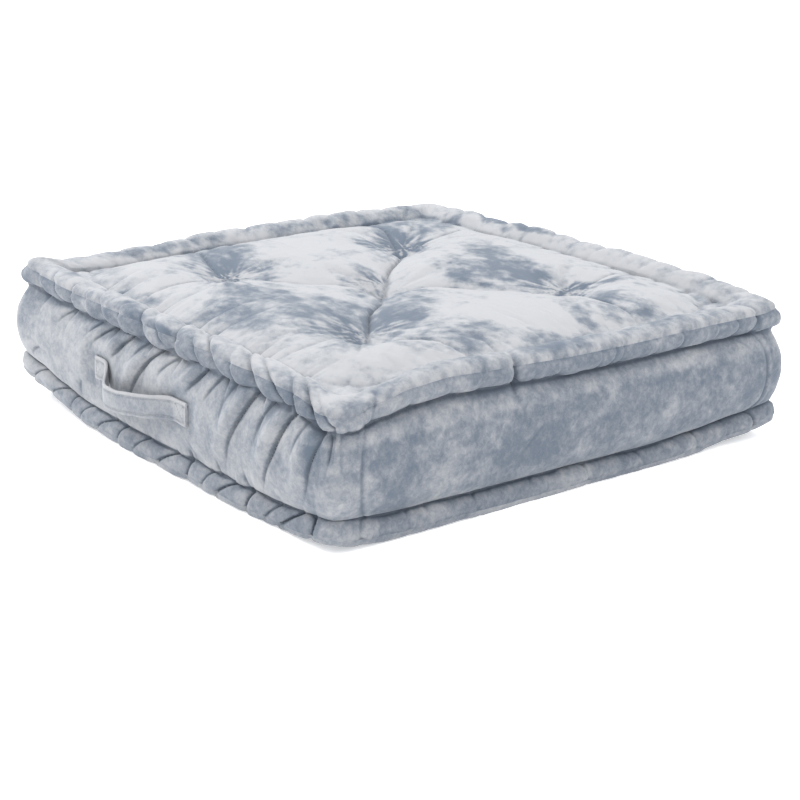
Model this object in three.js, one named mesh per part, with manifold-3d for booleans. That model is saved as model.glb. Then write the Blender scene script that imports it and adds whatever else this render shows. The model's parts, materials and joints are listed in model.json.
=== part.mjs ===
// Square tufted floor cushion with rolled edges, a boxed side and one carrying handle.
// Millimetres, +Z up, origin at the centre of the face the cushion rests on.
// X runs along the handle side, which faces -Y.

import * as THREE from "three";
import { mergeVertices } from "three/addons/utils/BufferGeometryUtils.js";
import Module from "manifold-3d";

const wasm = await Module();
wasm.setup();

// Whole cushion
const SIDE = 600;                 // across the edge rolls
const HALF = SIDE / 2;
const HEIGHT = 150;               // floor to the top of the upper roll
const CLOTH = 1.6;                // velvet cover
const GAP = 0.4;                  // clearance between neighbouring pieces

// Edge rolls
const ROLL_HALF_W = 19;           // half width and half height of a roll, cover included
const ROLL_HALF_H = 13;
const ROLL_INSET = CLOTH + 4 * GAP;
const ROLL_TOP_Z = HEIGHT - ROLL_HALF_H;
const ROLL_BOTTOM_Z = ROLL_HALF_H;
const SEAM_DEG = 4;               // half the opening of the seam, seen from the roll
const STITCH_R = 0.8;             // running twine behind each roll
const STITCH_U = -38.2;           // its place inside the nose line
const CORE_EDGE_U = -41;          // filling behind the rolls

// Crown of the top panel
const CROWN_EDGE_U = -40;         // line where the roll meets the panel
const CROWN_EDGE_Z = 141;
const CROWN_RISE = 14;
const TUFT_DEPTH = 27;
const TUFT_REACH = 38;            // the dimple's depth falls by e over this distance
const TUFT_PITCH = 135;           // nominal offset of the outer tufts
const WARP_REACH = 60;
const TUFTS = [
  { name: "centre", nominal: [0, 0], at: [-14, -2] },
  { name: "front_left", nominal: [-TUFT_PITCH, -TUFT_PITCH], at: [-131, -138] },
  { name: "front_right", nominal: [TUFT_PITCH, -TUFT_PITCH], at: [136, -141] },
  { name: "back_right", nominal: [TUFT_PITCH, TUFT_PITCH], at: [122, 148] },
  { name: "back_left", nominal: [-TUFT_PITCH, TUFT_PITCH], at: [-143, 128] },
];
const CROWN_RINGS = [236, 208, 175, TUFT_PITCH, 95, 60, 30];

// Tuft twines
const TWINE_R = 1.0;
const KNOT_R = 3.0;
const NEEDLE_HOLE_R = 2.0;        // channel through the filling and the top panel
const KNOT_POCKET_R = 4.0;
const KNOT_LIFT = 4.6;            // centre of the upper knot above the dimple

// Boxed side, as distance outside the nose line and height
const SIDE_PROFILE = [
  [-22, 121], [-15, 115.5], [-7, 106.5], [-0.5, 95], [1.8, 84],
  [2.5, 72], [1.8, 60], [-0.5, 49], [-7, 37.5], [-15, 30.5], [-22, 28.5],
];

// Handle
const STRAP_W = 25;
const STRAP_T = 3.0;
const TAB_W = 23;
const TAB_LEFT_X = -109.5;        // middle of each sewn end
const TAB_RIGHT_X = 49.5;
const STRAP_Z = 71.5;             // middle of the strap where it is sewn
const STRAP_Y = -(HALF + 2.5 + GAP + STRAP_T / 2);
const STRAP_PATH = [              // x, distance outside STRAP_Y, droop
  [-97.6, 0, 0], [-93, 3.1, 3], [-88, 7.6, 7], [-82, 12.6, 11], [-74, 16.1, 13],
  [-60, 18.1, 13], [-40, 18.6, 11], [-20, 17.1, 8], [0, 13.6, 4.5], [15, 9.1, 2],
  [27, 4.1, 0.7], [33, 1.1, 0.1], [37.6, 0, 0],
];
const THREAD = 0.5;

const VELVET = { color: "#c3cbd3", roughness: 0.85, metalness: 0 };
const FIBRE = { color: "#f1efe9", roughness: 0.95, metalness: 0 };
const TWINE = { color: "#b9c1c8", roughness: 0.8, metalness: 0 };
const SEWING = { color: "#d7dde2", roughness: 0.7, metalness: 0 };

// ---- surface building -------------------------------------------------------------------

function geometryFrom(points, triangles) {
  const geometry = new THREE.BufferGeometry();
  geometry.setAttribute("position", new THREE.Float32BufferAttribute(points.flat(), 3));
  geometry.setIndex(triangles.flat());
  return geometry;
}

// Points round a square of the given half size, counter-clockwise seen from above.
function squareRing(halfSize, perSide) {
  const corners = [[1, -1], [1, 1], [-1, 1], [-1, -1]];
  const ring = [];
  for (let side = 0; side < 4; side += 1) {
    const a = corners[side];
    const b = corners[(side + 1) % 4];
    for (let i = 0; i < perSide; i += 1) {
      const t = i / perSide;
      ring.push([halfSize * (a[0] + (b[0] - a[0]) * t), halfSize * (a[1] + (b[1] - a[1]) * t)]);
    }
  }
  return ring;
}

function span(a, b) {
  return Math.hypot(a[0] - b[0], a[1] - b[1], a[2] - b[2]);
}

// Skins a stack of equal rings. Rings run from a first point to a last point, or close in a
// loop. Each quad is split along its shorter diagonal, so that parallel skins split alike.
function skinRings(rings, firstPoint, lastPoint) {
  const count = rings[0].length;
  const points = rings.flat();
  const triangles = [];
  const loops = firstPoint ? rings.length - 1 : rings.length;
  for (let r = 0; r < loops; r += 1) {
    const low = r * count;
    const high = ((r + 1) % rings.length) * count;
    for (let i = 0; i < count; i += 1) {
      const next = (i + 1) % count;
      if (span(points[low + i], points[high + next]) < span(points[low + next], points[high + i])) {
        triangles.push([low + i, low + next, high + next], [low + i, high + next, high + i]);
      } else {
        triangles.push([low + i, low + next, high + i], [low + next, high + next, high + i]);
      }
    }
  }
  if (firstPoint) {
    const first = points.push(firstPoint) - 1;
    const last = points.push(lastPoint) - 1;
    const top = (rings.length - 1) * count;
    for (let i = 0; i < count; i += 1) {
      const next = (i + 1) % count;
      triangles.push([first, next, i], [last, top + i, top + next]);
    }
  }
  return geometryFrom(points, triangles);
}

// Skins equal closed sections from one flat end to the other. The flat outline of a section,
// in the same order, triangulates both ends.
function skinSections(sections, flat) {
  const contour = flat.map(([u, z]) => new THREE.Vector2(u, z));
  const clockwise = THREE.ShapeUtils.area(contour) < 0;
  const count = contour.length;
  const points = sections.flat();
  const triangles = [];
  for (let s = 0; s < sections.length - 1; s += 1) {
    for (let i = 0; i < count; i += 1) {
      const step = clockwise ? 1 : count - 1;
      const next = (i + step) % count;
      const a = s * count;
      const b = a + count;
      triangles.push([a + i, a + next, b + next], [a + i, b + next, b + i]);
    }
  }
  const end = (sections.length - 1) * count;
  for (const [a, b, c] of THREE.ShapeUtils.triangulateShape(contour, [])) {
    triangles.push([a, b, c], [end + a, end + c, end + b]);
  }
  return geometryFrom(points, triangles);
}

// Moves a polyline of [u, z] points to its left by a distance.
function offsetLine(line, distance) {
  return line.map((point, i) => {
    const before = line[Math.max(i - 1, 0)];
    const after = line[Math.min(i + 1, line.length - 1)];
    const a = new THREE.Vector2(point[0] - before[0], point[1] - before[1]).normalize();
    const b = new THREE.Vector2(after[0] - point[0], after[1] - point[1]).normalize();
    const along = a.clone().add(b).normalize();
    const reach = distance / Math.max(along.dot(a.lengthSq() > 0 ? a : b), 0.5);
    return [point[0] - along.y * reach, point[1] + along.x * reach];
  });
}

// Part of the outline of a roll's oval section.
function arc(centreZ, fromDeg, toDeg, steps) {
  const line = [];
  for (let i = 0; i <= steps; i += 1) {
    const angle = THREE.MathUtils.degToRad(fromDeg + ((toDeg - fromDeg) * i) / steps);
    line.push([
      ROLL_HALF_W * (Math.cos(angle) - 1),
      centreZ + ROLL_HALF_H * Math.sin(angle),
    ]);
  }
  return line;
}

function toManifold(geometry) {
  const bare = new THREE.BufferGeometry();
  bare.setAttribute("position", geometry.getAttribute("position").clone());
  bare.setIndex(geometry.getIndex() ? geometry.getIndex().clone() : null);
  const merged = mergeVertices(bare, 1e-4);
  return new wasm.Manifold(new wasm.Mesh({
    numProp: 3,
    vertProperties: new Float32Array(merged.getAttribute("position").array),
    triVerts: new Uint32Array(merged.getIndex().array),
  }));
}

function fromManifold(solid) {
  const mesh = solid.getMesh();
  const geometry = new THREE.BufferGeometry();
  geometry.setAttribute("position", new THREE.BufferAttribute(mesh.vertProperties, 3));
  geometry.setIndex(new THREE.BufferAttribute(mesh.triVerts, 1));
  return geometry;
}

function upright(radius, lowZ, highZ, [x, y], segments) {
  const geometry = new THREE.CylinderGeometry(radius, radius, highZ - lowZ, segments);
  geometry.rotateX(Math.PI / 2);
  geometry.translate(x, y, (highZ + lowZ) / 2);
  return geometry;
}

function ball(radius, z, [x, y]) {
  return new THREE.IcosahedronGeometry(radius, 1).translate(x, y, z);
}

// ---- crown ------------------------------------------------------------------------------

// Draws the ring points towards the real, slightly uneven places of the tufts.
function warp([x, y]) {
  let [wx, wy] = [x, y];
  for (const { nominal, at } of TUFTS) {
    const pull = Math.exp(-((x - nominal[0]) ** 2 + (y - nominal[1]) ** 2) / WARP_REACH ** 2);
    wx += (at[0] - nominal[0]) * pull;
    wy += (at[1] - nominal[1]) * pull;
  }
  return [wx, wy];
}

function crownHeight([x, y]) {
  const edge = HALF + CROWN_EDGE_U;
  const outwards = Math.min((Math.abs(x / edge) ** 6 + Math.abs(y / edge) ** 6) ** (1 / 6), 1);
  const dimples = TUFTS.reduce((sum, { at }) => {
    return sum + Math.exp(-Math.hypot(x - at[0], y - at[1]) / TUFT_REACH);
  }, 0);
  const inside = THREE.MathUtils.smoothstep(1 - outwards, 0, 0.12);
  return CROWN_EDGE_Z + CROWN_RISE * (1 - outwards ** 3) - TUFT_DEPTH * dimples * inside;
}

function crownRing(halfSize, perSide, drop) {
  return squareRing(halfSize, perSide).map((point) => {
    const placed = warp(point);
    return [...placed, crownHeight(placed) - drop];
  });
}

function crownPoint(drop) {
  const placed = warp([0, 0]);
  return [...placed, crownHeight(placed) - drop];
}

function flatRing([u, z], perSide) {
  return squareRing(HALF + u, perSide).map(([x, y]) => [x, y, z]);
}

// ---- cover ------------------------------------------------------------------------------

// Velvet over the crown and down the outer side of the upper roll to its seam.
function topPanel() {
  const perSide = 10;
  const wrap = [...arc(ROLL_TOP_Z, SEAM_DEG, 150, 6), [CROWN_EDGE_U, CROWN_EDGE_Z]];
  const lining = offsetLine(wrap, CLOTH);
  const outer = wrap.map((p) => flatRing(p, perSide));
  const crown = CROWN_RINGS.map((size) => crownRing(size, perSide, 0));
  const under = [...CROWN_RINGS].reverse().map((size) => crownRing(size, perSide, CLOTH * 1.15));
  const inner = [...lining].reverse().map((p) => flatRing(p, perSide));
  const rings = [...under, ...inner, ...outer, ...crown];
  const sheet = skinRings(rings, crownPoint(CLOTH * 1.15), crownPoint(0));
  const holes = TUFTS.map(({ at }) => toManifold(upright(NEEDLE_HOLE_R, 100, HEIGHT, at, 8)));
  return fromManifold(holes.reduce((solid, hole) => solid.subtract(hole), toManifold(sheet)));
}

// Velvet under the cushion and up the outer side of the lower roll to its seam.
function bottomPanel() {
  const perSide = 4;
  const wrap = arc(ROLL_BOTTOM_Z, -90, -SEAM_DEG, 4);
  const lining = offsetLine(wrap, CLOTH);
  const outer = wrap.map((p) => flatRing(p, perSide));
  const inner = [...lining].reverse().map((p) => flatRing(p, perSide));
  return skinRings([...outer, ...inner], [0, 0, 0], [0, 0, CLOTH]);
}

// One of the four boxing panels, mitred to its neighbours at the corners.
function sidePanel() {
  const outer = [
    ...arc(ROLL_TOP_Z, -SEAM_DEG, -90, 4),
    ...SIDE_PROFILE,
    ...arc(ROLL_BOTTOM_Z, 90, SEAM_DEG, 4),
  ];
  const section = [...outer, ...offsetLine(outer, -CLOTH).reverse()];
  const stations = [-1, -0.5, 0, 0.5, 1];
  const sections = stations.map((t) => section.map(([u, z]) => {
    return [t * (HALF + u - GAP), -(HALF + u), z];
  }));
  return skinSections(sections, section);
}

// ---- filling ----------------------------------------------------------------------------

// Fibre core, shaped by the cover, with the channels and knot pockets of the tufts.
function coreFill() {
  const perSide = 10;
  const inset = CLOTH + GAP;
  const floor = CLOTH + GAP;
  const side = offsetLine([...SIDE_PROFILE].reverse(), inset);
  const profile = [
    [CORE_EDGE_U, floor], [CORE_EDGE_U, 25], ...side, [CORE_EDGE_U, 125],
    [CORE_EDGE_U - 1, CROWN_EDGE_Z - inset - 1],
  ];
  const rings = profile.map((p) => flatRing(p, perSide));
  const crown = CROWN_RINGS.map((size) => crownRing(size, perSide, inset * 1.2));
  const body = skinRings([...rings, ...crown], [0, 0, floor], crownPoint(inset * 1.2));
  const cuts = TUFTS.flatMap(({ at }) => [
    upright(NEEDLE_HOLE_R, 0, HEIGHT, at, 8),
    upright(KNOT_POCKET_R, 0, floor + 2 * KNOT_R + 1, at, 10),
  ]);
  return fromManifold(cuts.reduce((solid, cut) => solid.subtract(toManifold(cut)),
    toManifold(body)));
}

// A square ring of oval section, following the edge of the cushion.
function edgeRing(u, z, halfW, halfH, segments, perSide) {
  const rings = [];
  for (let i = 0; i < segments; i += 1) {
    const angle = (2 * Math.PI * i) / segments;
    rings.push(flatRing([u + halfW * Math.cos(angle), z + halfH * Math.sin(angle)], perSide));
  }
  return skinRings(rings);
}

function rollFill(z) {
  return edgeRing(-ROLL_HALF_W, z, ROLL_HALF_W - ROLL_INSET, ROLL_HALF_H - ROLL_INSET, 12, 4);
}

function rollStitch(z) {
  return edgeRing(STITCH_U, z, STITCH_R, STITCH_R, 6, 1);
}

// Twine through the core, knotted above the dimple and on the bottom panel.
function tuftTwine(at) {
  const topZ = crownHeight(at) + KNOT_LIFT;
  const lowZ = CLOTH + GAP + KNOT_R;
  return fromManifold([ball(KNOT_R, topZ, at), ball(KNOT_R, lowZ, at)].reduce(
    (solid, knot) => solid.add(toManifold(knot)),
    toManifold(upright(TWINE_R, lowZ, topZ, at, 8)),
  ));
}

// ---- handle -----------------------------------------------------------------------------

// Free part of the strap, bowed out from the side and hanging a little lower at its left.
function handleGrip() {
  const curve = new THREE.CatmullRomCurve3(STRAP_PATH.map(([x, out, droop]) => {
    return new THREE.Vector3(x, STRAP_Y - out, STRAP_Z - droop);
  }));
  const steps = 20;
  const bevel = 1;
  const [w, t] = [STRAP_W / 2, STRAP_T / 2];
  const section = [
    [t - bevel, -w], [t, bevel - w], [t, w - bevel], [t - bevel, w],
    [bevel - t, w], [-t, w - bevel], [-t, bevel - w], [bevel - t, -w],
  ];
  const sections = [];
  for (let i = 0; i <= steps; i += 1) {
    const point = curve.getPoint(i / steps);
    const along = curve.getTangent(i / steps).setZ(0).normalize();
    const across = i === 0 || i === steps
      ? new THREE.Vector3(0, -1, 0)
      : new THREE.Vector3(along.y, -along.x, 0);
    sections.push(section.map(([a, b]) => [
      point.x + across.x * a, point.y + across.y * a, point.z + b,
    ]));
  }
  return skinSections(sections, section);
}

function handleTab() {
  return new THREE.BoxGeometry(TAB_W, STRAP_T, STRAP_W);
}

// Box-and-cross stitching lying on a sewn end.
function tabStitch() {
  const [w, h] = [TAB_W - 7, STRAP_W - 7];
  const bar = (length, turn, x, z) => {
    const geometry = new THREE.BoxGeometry(length, THREAD, THREAD);
    return toManifold(geometry.rotateY(turn).translate(x, 0, z));
  };
  const slope = Math.atan2(h, w);
  const cross = Math.hypot(w, h);
  return fromManifold([
    bar(w + THREAD, 0, 0, -h / 2),
    bar(h + THREAD, Math.PI / 2, -w / 2, 0),
    bar(h + THREAD, Math.PI / 2, w / 2, 0),
    bar(cross, slope, 0, 0),
    bar(cross, -slope, 0, 0),
  ].reduce((solid, line) => solid.add(line), bar(w + THREAD, 0, 0, h / 2)));
}

// ---- assembly ---------------------------------------------------------------------------

function piece(name, geometry, look) {
  const plain = geometry.index ? geometry.toNonIndexed() : geometry;
  plain.computeVertexNormals();
  const mesh = new THREE.Mesh(plain, new THREE.MeshStandardMaterial(look));
  mesh.name = name;
  return mesh;
}

function sidePanels() {
  const group = new THREE.Group();
  ["front", "right", "back", "left"].forEach((name, i) => {
    const mesh = piece(`side_panel_${name}`, sidePanel(), VELVET);
    mesh.rotation.z = (i * Math.PI) / 2;
    group.add(mesh);
  });
  return group;
}

function tufts() {
  const group = new THREE.Group();
  for (const { name, at } of TUFTS) {
    group.add(piece(`tuft_twine_${name}`, tuftTwine(at), TWINE));
  }
  return group;
}

function handle() {
  const group = new THREE.Group();
  for (const [name, x] of [["left", TAB_LEFT_X], ["right", TAB_RIGHT_X]]) {
    const end = new THREE.Group();
    end.position.set(x, STRAP_Y, STRAP_Z);
    end.add(piece(`handle_tab_${name}`, handleTab(), VELVET));
    const stitch = piece(`handle_stitch_${name}`, tabStitch(), SEWING);
    stitch.position.y = -(STRAP_T / 2 + GAP + THREAD / 2);
    end.add(stitch);
    group.add(end);
  }
  group.add(piece("handle_grip", handleGrip(), VELVET));
  return group;
}

const cushion = new THREE.Group();
cushion.add(piece("top_panel", topPanel(), VELVET));
cushion.add(piece("bottom_panel", bottomPanel(), VELVET));
cushion.add(sidePanels());
cushion.add(piece("core_fill", coreFill(), FIBRE));
cushion.add(piece("edge_roll_top", rollFill(ROLL_TOP_Z), FIBRE));
cushion.add(piece("edge_roll_bottom", rollFill(ROLL_BOTTOM_Z), FIBRE));
cushion.add(piece("roll_stitch_top", rollStitch(ROLL_TOP_Z), TWINE));
cushion.add(piece("roll_stitch_bottom", rollStitch(ROLL_BOTTOM_Z), TWINE));
cushion.add(tufts());
cushion.add(handle());

export default cushion;
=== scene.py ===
"""A square tufted floor cushion in pale blue-grey velvet, with rolled edges and a sewn handle.

Sizes in the surface maths are millimetres in the object's own frame: +Z up, the handle side
facing -Y, and the origin at the centre of the face that the cushion rests on.
"""

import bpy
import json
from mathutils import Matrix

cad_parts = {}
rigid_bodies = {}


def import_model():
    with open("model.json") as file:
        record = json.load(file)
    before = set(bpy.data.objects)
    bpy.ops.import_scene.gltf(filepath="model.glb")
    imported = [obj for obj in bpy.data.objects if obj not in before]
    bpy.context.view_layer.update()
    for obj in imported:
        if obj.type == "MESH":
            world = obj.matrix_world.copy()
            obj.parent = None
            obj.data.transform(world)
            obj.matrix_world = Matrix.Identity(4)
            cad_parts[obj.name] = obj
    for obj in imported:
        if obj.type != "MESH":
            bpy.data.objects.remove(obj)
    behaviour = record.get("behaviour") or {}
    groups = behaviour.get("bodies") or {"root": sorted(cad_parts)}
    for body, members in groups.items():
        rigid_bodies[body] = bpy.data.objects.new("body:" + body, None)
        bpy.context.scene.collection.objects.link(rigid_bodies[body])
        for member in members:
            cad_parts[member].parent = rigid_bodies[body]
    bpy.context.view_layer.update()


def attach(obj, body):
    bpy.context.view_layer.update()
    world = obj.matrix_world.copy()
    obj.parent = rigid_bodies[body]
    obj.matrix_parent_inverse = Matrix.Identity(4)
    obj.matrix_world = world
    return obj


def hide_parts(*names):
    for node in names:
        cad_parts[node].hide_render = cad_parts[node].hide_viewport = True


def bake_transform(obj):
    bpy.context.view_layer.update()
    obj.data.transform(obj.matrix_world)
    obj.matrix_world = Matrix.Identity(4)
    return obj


bl_info = {
    "name": "Tufted floor cushion",
    "version": (1, 0, 0),
    "blender": (4, 5, 0),
    "location": "View3D > Sidebar > Cushion",
    "description": "Builds a tufted velvet floor cushion with rolled edges and a handle",
    "category": "Object",
}

import json
from math import ceil, cos, hypot, pi, radians, sin

import bpy
import numpy as np
from mathutils import Matrix, Vector

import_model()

MM = 0.001
BODY = "cushion"
CLOTH = 1.5  # thickness of the velvet
SIDES = ("front", "right", "back", "left")

# ---- sections of the cover, as distance outside the nose line and height ----------------

ROLL_W = 40.0  # width of an edge roll, from its inner stitch line to the nose
HALF = 300.0  # half the width across the nose lines
CROWN_HALF = HALF - ROLL_W
TOP_ROWS = 0.083  # rows of points round each roll, as a share of the cells across the cushion
LOW_ROWS = 0.075

# Rise and fall of the two rolls along each side: place, height
TOP_RISE = {
    "front": ((-300, 8), (-260, 5), (-180, 1), (0, 0), (180, 0), (240, -3), (278, -12), (300, -12)),
    "right": ((-300, -12), (-280, -12), (-246, -3), (-210, 3), (-165, 6), (-100, 3), (0, 0), (200, 0),
              (270, 0), (300, 3)),
    "back": ((-300, 3), (-240, 10), (-120, 14), (60, 13), (220, 10), (300, 6)),
    "left": ((-300, 6), (-200, 10), (-40, 11), (90, 8), (210, 1), (262, 2), (300, 8)),
}
LOW_RISE = {
    "front": ((-300, 23), (-262, 15), (-215, 6), (-150, -1), (-60, -3), (210, -2), (300, 4)),
    "right": ((-300, 4), (-220, -2), (100, -5), (190, -2), (250, 5), (300, 13)),
    "back": ((-300, 13), (-240, 4), (-150, 0), (150, 0), (300, 12)),
    "left": ((-300, 12), (-150, 0), (100, 0), (200, 8), (255, 16), (300, 23)),
}
# Outward push of the corners of each roll and of the boxing, by the signs of x and y
TOP_EARS = {(-1, -1): 4.5, (1, 1): 5.0, (-1, 1): 2.0}
LOW_EARS = {(-1, -1): 7.5, (1, 1): 7.5, (-1, 1): 2.0}
BOX_EARS = {(-1, -1): 4.5, (1, 1): 3.0}
EAR_REACH = 26.0
BLUNT_REACH = 34.0  # reach of the blunt ear, at the corner nearest the handle's right end
BLUNT_DROP = 6.0  # how far the underside of the blunt ear is lifted to meet its top
# How far each groove is filled along its side, and at least how far near a corner
TOP_FILL = {"front": 0.4, "right": 0.15, "back": 0.1, "left": 0.1}
LOW_FILL = {"front": 0.25, "right": 0.1, "back": 0.0, "left": 0.1}
CORNER_FILL = 0.6
CORNER_FILL_REACH = 38.0
TOP_ROLL = ((-40, 141.5), (-35, 146.4), (-27, 150.4), (-17, 151.4), (-9, 149.4), (-4, 145.6), (-2, 141.6))
BOXING = (
    (-2, 141.6), (-0.2, 136), (-0.9, 130), (-5, 124.6), (-11.5, 121.4), (-7, 117.6), (-1, 111.5),
    (3.8, 101), (6.8, 88), (7.8, 73), (7.0, 59), (4.4, 46), (0, 36.5), (-5.5, 30.4), (-12, 27.2),
    (-7, 24.8), (-2.4, 20.8), (-0.4, 15), (-0.4, 9),
)
UNDER = ((-0.4, 9), (-1.6, 5), (-5.5, 1.8), (-13, 0.2), (-41, 0.0))
TOP_GROOVE = 4  # place of each groove in BOXING
LOW_GROOVE = 14
TOP_MIDDLE = (-19.0, 136.0)  # middle of each roll's section
LOW_MIDDLE = (-19.0, 13.0)
TOP_NOSE = 0.62  # place of each nose seam on its roll, from 0 at the inner line to 1 at the groove
LOW_NOSE = 0.55

# Tuft places, as in the filling
TUFTS = {
    "centre": (-14, -2),
    "front_left": (-126, -134),
    "front_right": (136, -141),
    "back_right": (122, 148),
    "back_left": (-143, 128),
}

# Sewn ends of the handle: middle along the side, and the strap's height
TAB_X = {"left": -109.5, "right": 49.5}
TAB_RISE = {"left": 4.0, "right": 0.0}
STRAP_Z = 71.5
STRAP_W = 25.0
STRAP_Y = -304.6
# Flat places of the boxing under the sewn ends: half width and height, fade round them, how far out
BED_HALF = (13.0, 14.0)
BED_FADE = 26.0
BED_OUT = 2.6
BOX_STITCH_HALF = (7.6, 9.0)  # half width and height of the stitched box on each sewn end
EDGE_STITCH_IN = 4.0  # distance of the edge rows from the strap's edges


# ---- small maths ------------------------------------------------------------------------


def ease(t):
    """0 to 1 with soft ends."""
    t = np.clip(t, 0.0, 1.0)
    return t * t * (3.0 - 2.0 * t)


def lattice(ix, iy, iz, seed):
    """A repeatable value from -1 to 1 for each whole-number place."""
    h = ix * 73856093 ^ iy * 19349663 ^ iz * 83492791 ^ (seed * 2654435761 % 4294967296)
    h = (h ^ (h >> 13)) * 1274126177 & 0xFFFFFFFF
    h = (h ^ (h >> 16)) & 0xFFFF
    return h / 32767.5 - 1.0


def noise(p, scale, seed):
    """Smooth noise from -1 to 1 at points p, with lumps about scale across."""
    q = np.asarray(p, float) / scale
    cell = np.floor(q).astype(np.int64)
    f = q - cell
    f = f * f * f * (f * (f * 6.0 - 15.0) + 10.0)
    total = 0.0
    for dx in (0, 1):
        wx = f[..., 0] if dx else 1.0 - f[..., 0]
        for dy in (0, 1):
            wy = f[..., 1] if dy else 1.0 - f[..., 1]
            for dz in (0, 1):
                wz = f[..., 2] if dz else 1.0 - f[..., 2]
                corner = lattice(cell[..., 0] + dx, cell[..., 1] + dy, cell[..., 2] + dz, seed)
                total = total + corner * wx * wy * wz
    return total


def layers(p, scale, seed, count=3, fade=0.5):
    """Noise with finer and finer layers added."""
    total, weight, reach = 0.0, 1.0, 0.0
    for i in range(count):
        total = total + noise(p, scale / 2**i, seed + 31 * i) * weight
        reach += weight
        weight *= fade
    return total / reach


def spline(points, spacing=None, count=None):
    """Evenly spaced points on a smooth curve through the given ones, and each one's knot."""
    p = np.asarray(points, float)
    p = np.vstack([2 * p[0] - p[1], p, 2 * p[-1] - p[-2]])
    t = np.linspace(0, 1, 24, endpoint=False)[:, None]
    pieces, knots = [], []
    for i in range(1, len(p) - 2):
        a, b, c, d = p[i - 1], p[i], p[i + 1], p[i + 2]
        pieces.append(0.5 * (2 * b + (c - a) * t + (2 * a - 5 * b + 4 * c - d) * t**2
                             + (3 * b - a - 3 * c + d) * t**3))
        knots.append(i - 1 + t[:, 0])
    line = np.vstack(pieces + [p[-2:-1]])
    knot = np.concatenate(knots + [[len(p) - 3]])
    run = np.concatenate([[0], np.cumsum(np.linalg.norm(np.diff(line, axis=0), axis=1))])
    if count is None:
        count = max(int(round(run[-1] / spacing)), 1)
    at = np.linspace(0, run[-1], count + 1)
    even = np.stack([np.interp(at, run, line[:, k]) for k in range(p.shape[1])], 1)
    return even, np.interp(at, run, knot)


def valley(x, left, right):
    """A sharp crease: 1 at x = 0, falling in a pillow curve to 0 at -left and at right."""
    side = np.where(x < 0, np.clip(1 + x / left, 0, 1), np.clip(1 - x / right, 0, 1))
    return side * side


def bell(x, width):
    """A smooth hump: 1 at x = 0, falling off over width to each side."""
    return np.exp(-((x / width) ** 2))


def lumps(p, *parts):
    """Noise of several sizes added: the weight, size across and seed of each."""
    return sum(weight * noise(p, scale, seed) for weight, scale, seed in parts)


# ---- gathers of the rolls: place along the side, depth ----------------------------------

GATHER_CAP = 12.0  # no gather of the upper roll goes deeper
TOP_GATHERS = {
    "front": ((-268, 6), (-232, 2.5), (-192, 7), (-160, 2), (-127, 8), (-84, 3), (-45, 9),
              (-14, 2.5), (22, 9.5), (58, 2.5), (92, 10), (130, 2.5), (165, 9), (200, 6),
              (232, 5), (262, 8), (284, 2)),
    "right": ((-284, 2), (-256, 4), (-212, 2.5), (-160, 2), (-122, 2), (-80, 10.5), (-56, 2), (-22, 1.5),
              (32, 2.5), (54, 4), (66, 3.5), (115, 1.5), (152, 3), (206, 1.5), (236, 3.5), (266, 4.5)),
    "back": ((-265, 5), (-215, 5), (-170, 4), (-128, 5), (-84, 4), (-40, 5), (8, 4), (52, 6),
             (98, 4), (140, 5), (188, 4), (230, 5), (266, 5)),
    "left": ((-264, 5), (-220, 4), (-176, 5), (-130, 4), (-90, 5), (-42, 4), (4, 5), (46, 4),
             (92, 6), (138, 4), (180, 5), (226, 4), (264, 5)),
}
LOW_GATHERS = {
    "front": ((-268, 5), (-227, 5), (-182, 7), (-155, 4), (-114, 6), (-72, 7), (-38, 5),
              (8, 8), (58, 7), (88, 4), (118, 7.5), (166, 8), (198, 4), (224, 8), (268, 7)),
    "right": ((-268, 5), (-212, 3), (-190, 2), (-126, 4), (-104, 2), (-54, 3), (-2, 2),
              (22, 4), (84, 2.5), (102, 3), (158, 2), (186, 3.5), (232, 3), (268, 5)),
    "back": ((-266, 5), (-224, 5), (-182, 4), (-140, 6), (-100, 4), (-58, 5), (-18, 5),
             (26, 4), (66, 6), (108, 5), (150, 4), (190, 5), (230, 5), (266, 5)),
    "left": ((-268, 5), (-228, 4), (-186, 5), (-146, 5), (-102, 4), (-62, 5), (-20, 4),
             (22, 5), (64, 4), (104, 5), (148, 5), (188, 4), (228, 5), (268, 5)),
}
# Form of a gather: its width to the left and right on the front and on the other sides, the share
# of its depth that it takes, and its sharpness
TOP_FORM = ((60.0, 10.0), (24.0, 16.0), 1.2, 1.9)
LOW_FORM = ((20.0, 7.0), (15.0, 11.0), 0.62, 2.4)
LEAN = {"front": 68.0, "right": -12.0, "back": 18.0, "left": -18.0}  # slant of the gathers
FOLD_STRENGTH = {"front": 1.25, "right": 0.45, "back": 0.9, "left": 0.9}
GATHER_STRENGTH = {"front": 1.35, "right": 0.75, "back": 0.8, "left": 0.8}
LOW_BOW = {"front": 8.0, "right": 0.5, "back": 3.0, "left": 4.0}  # outward sweep of the lower roll

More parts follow.
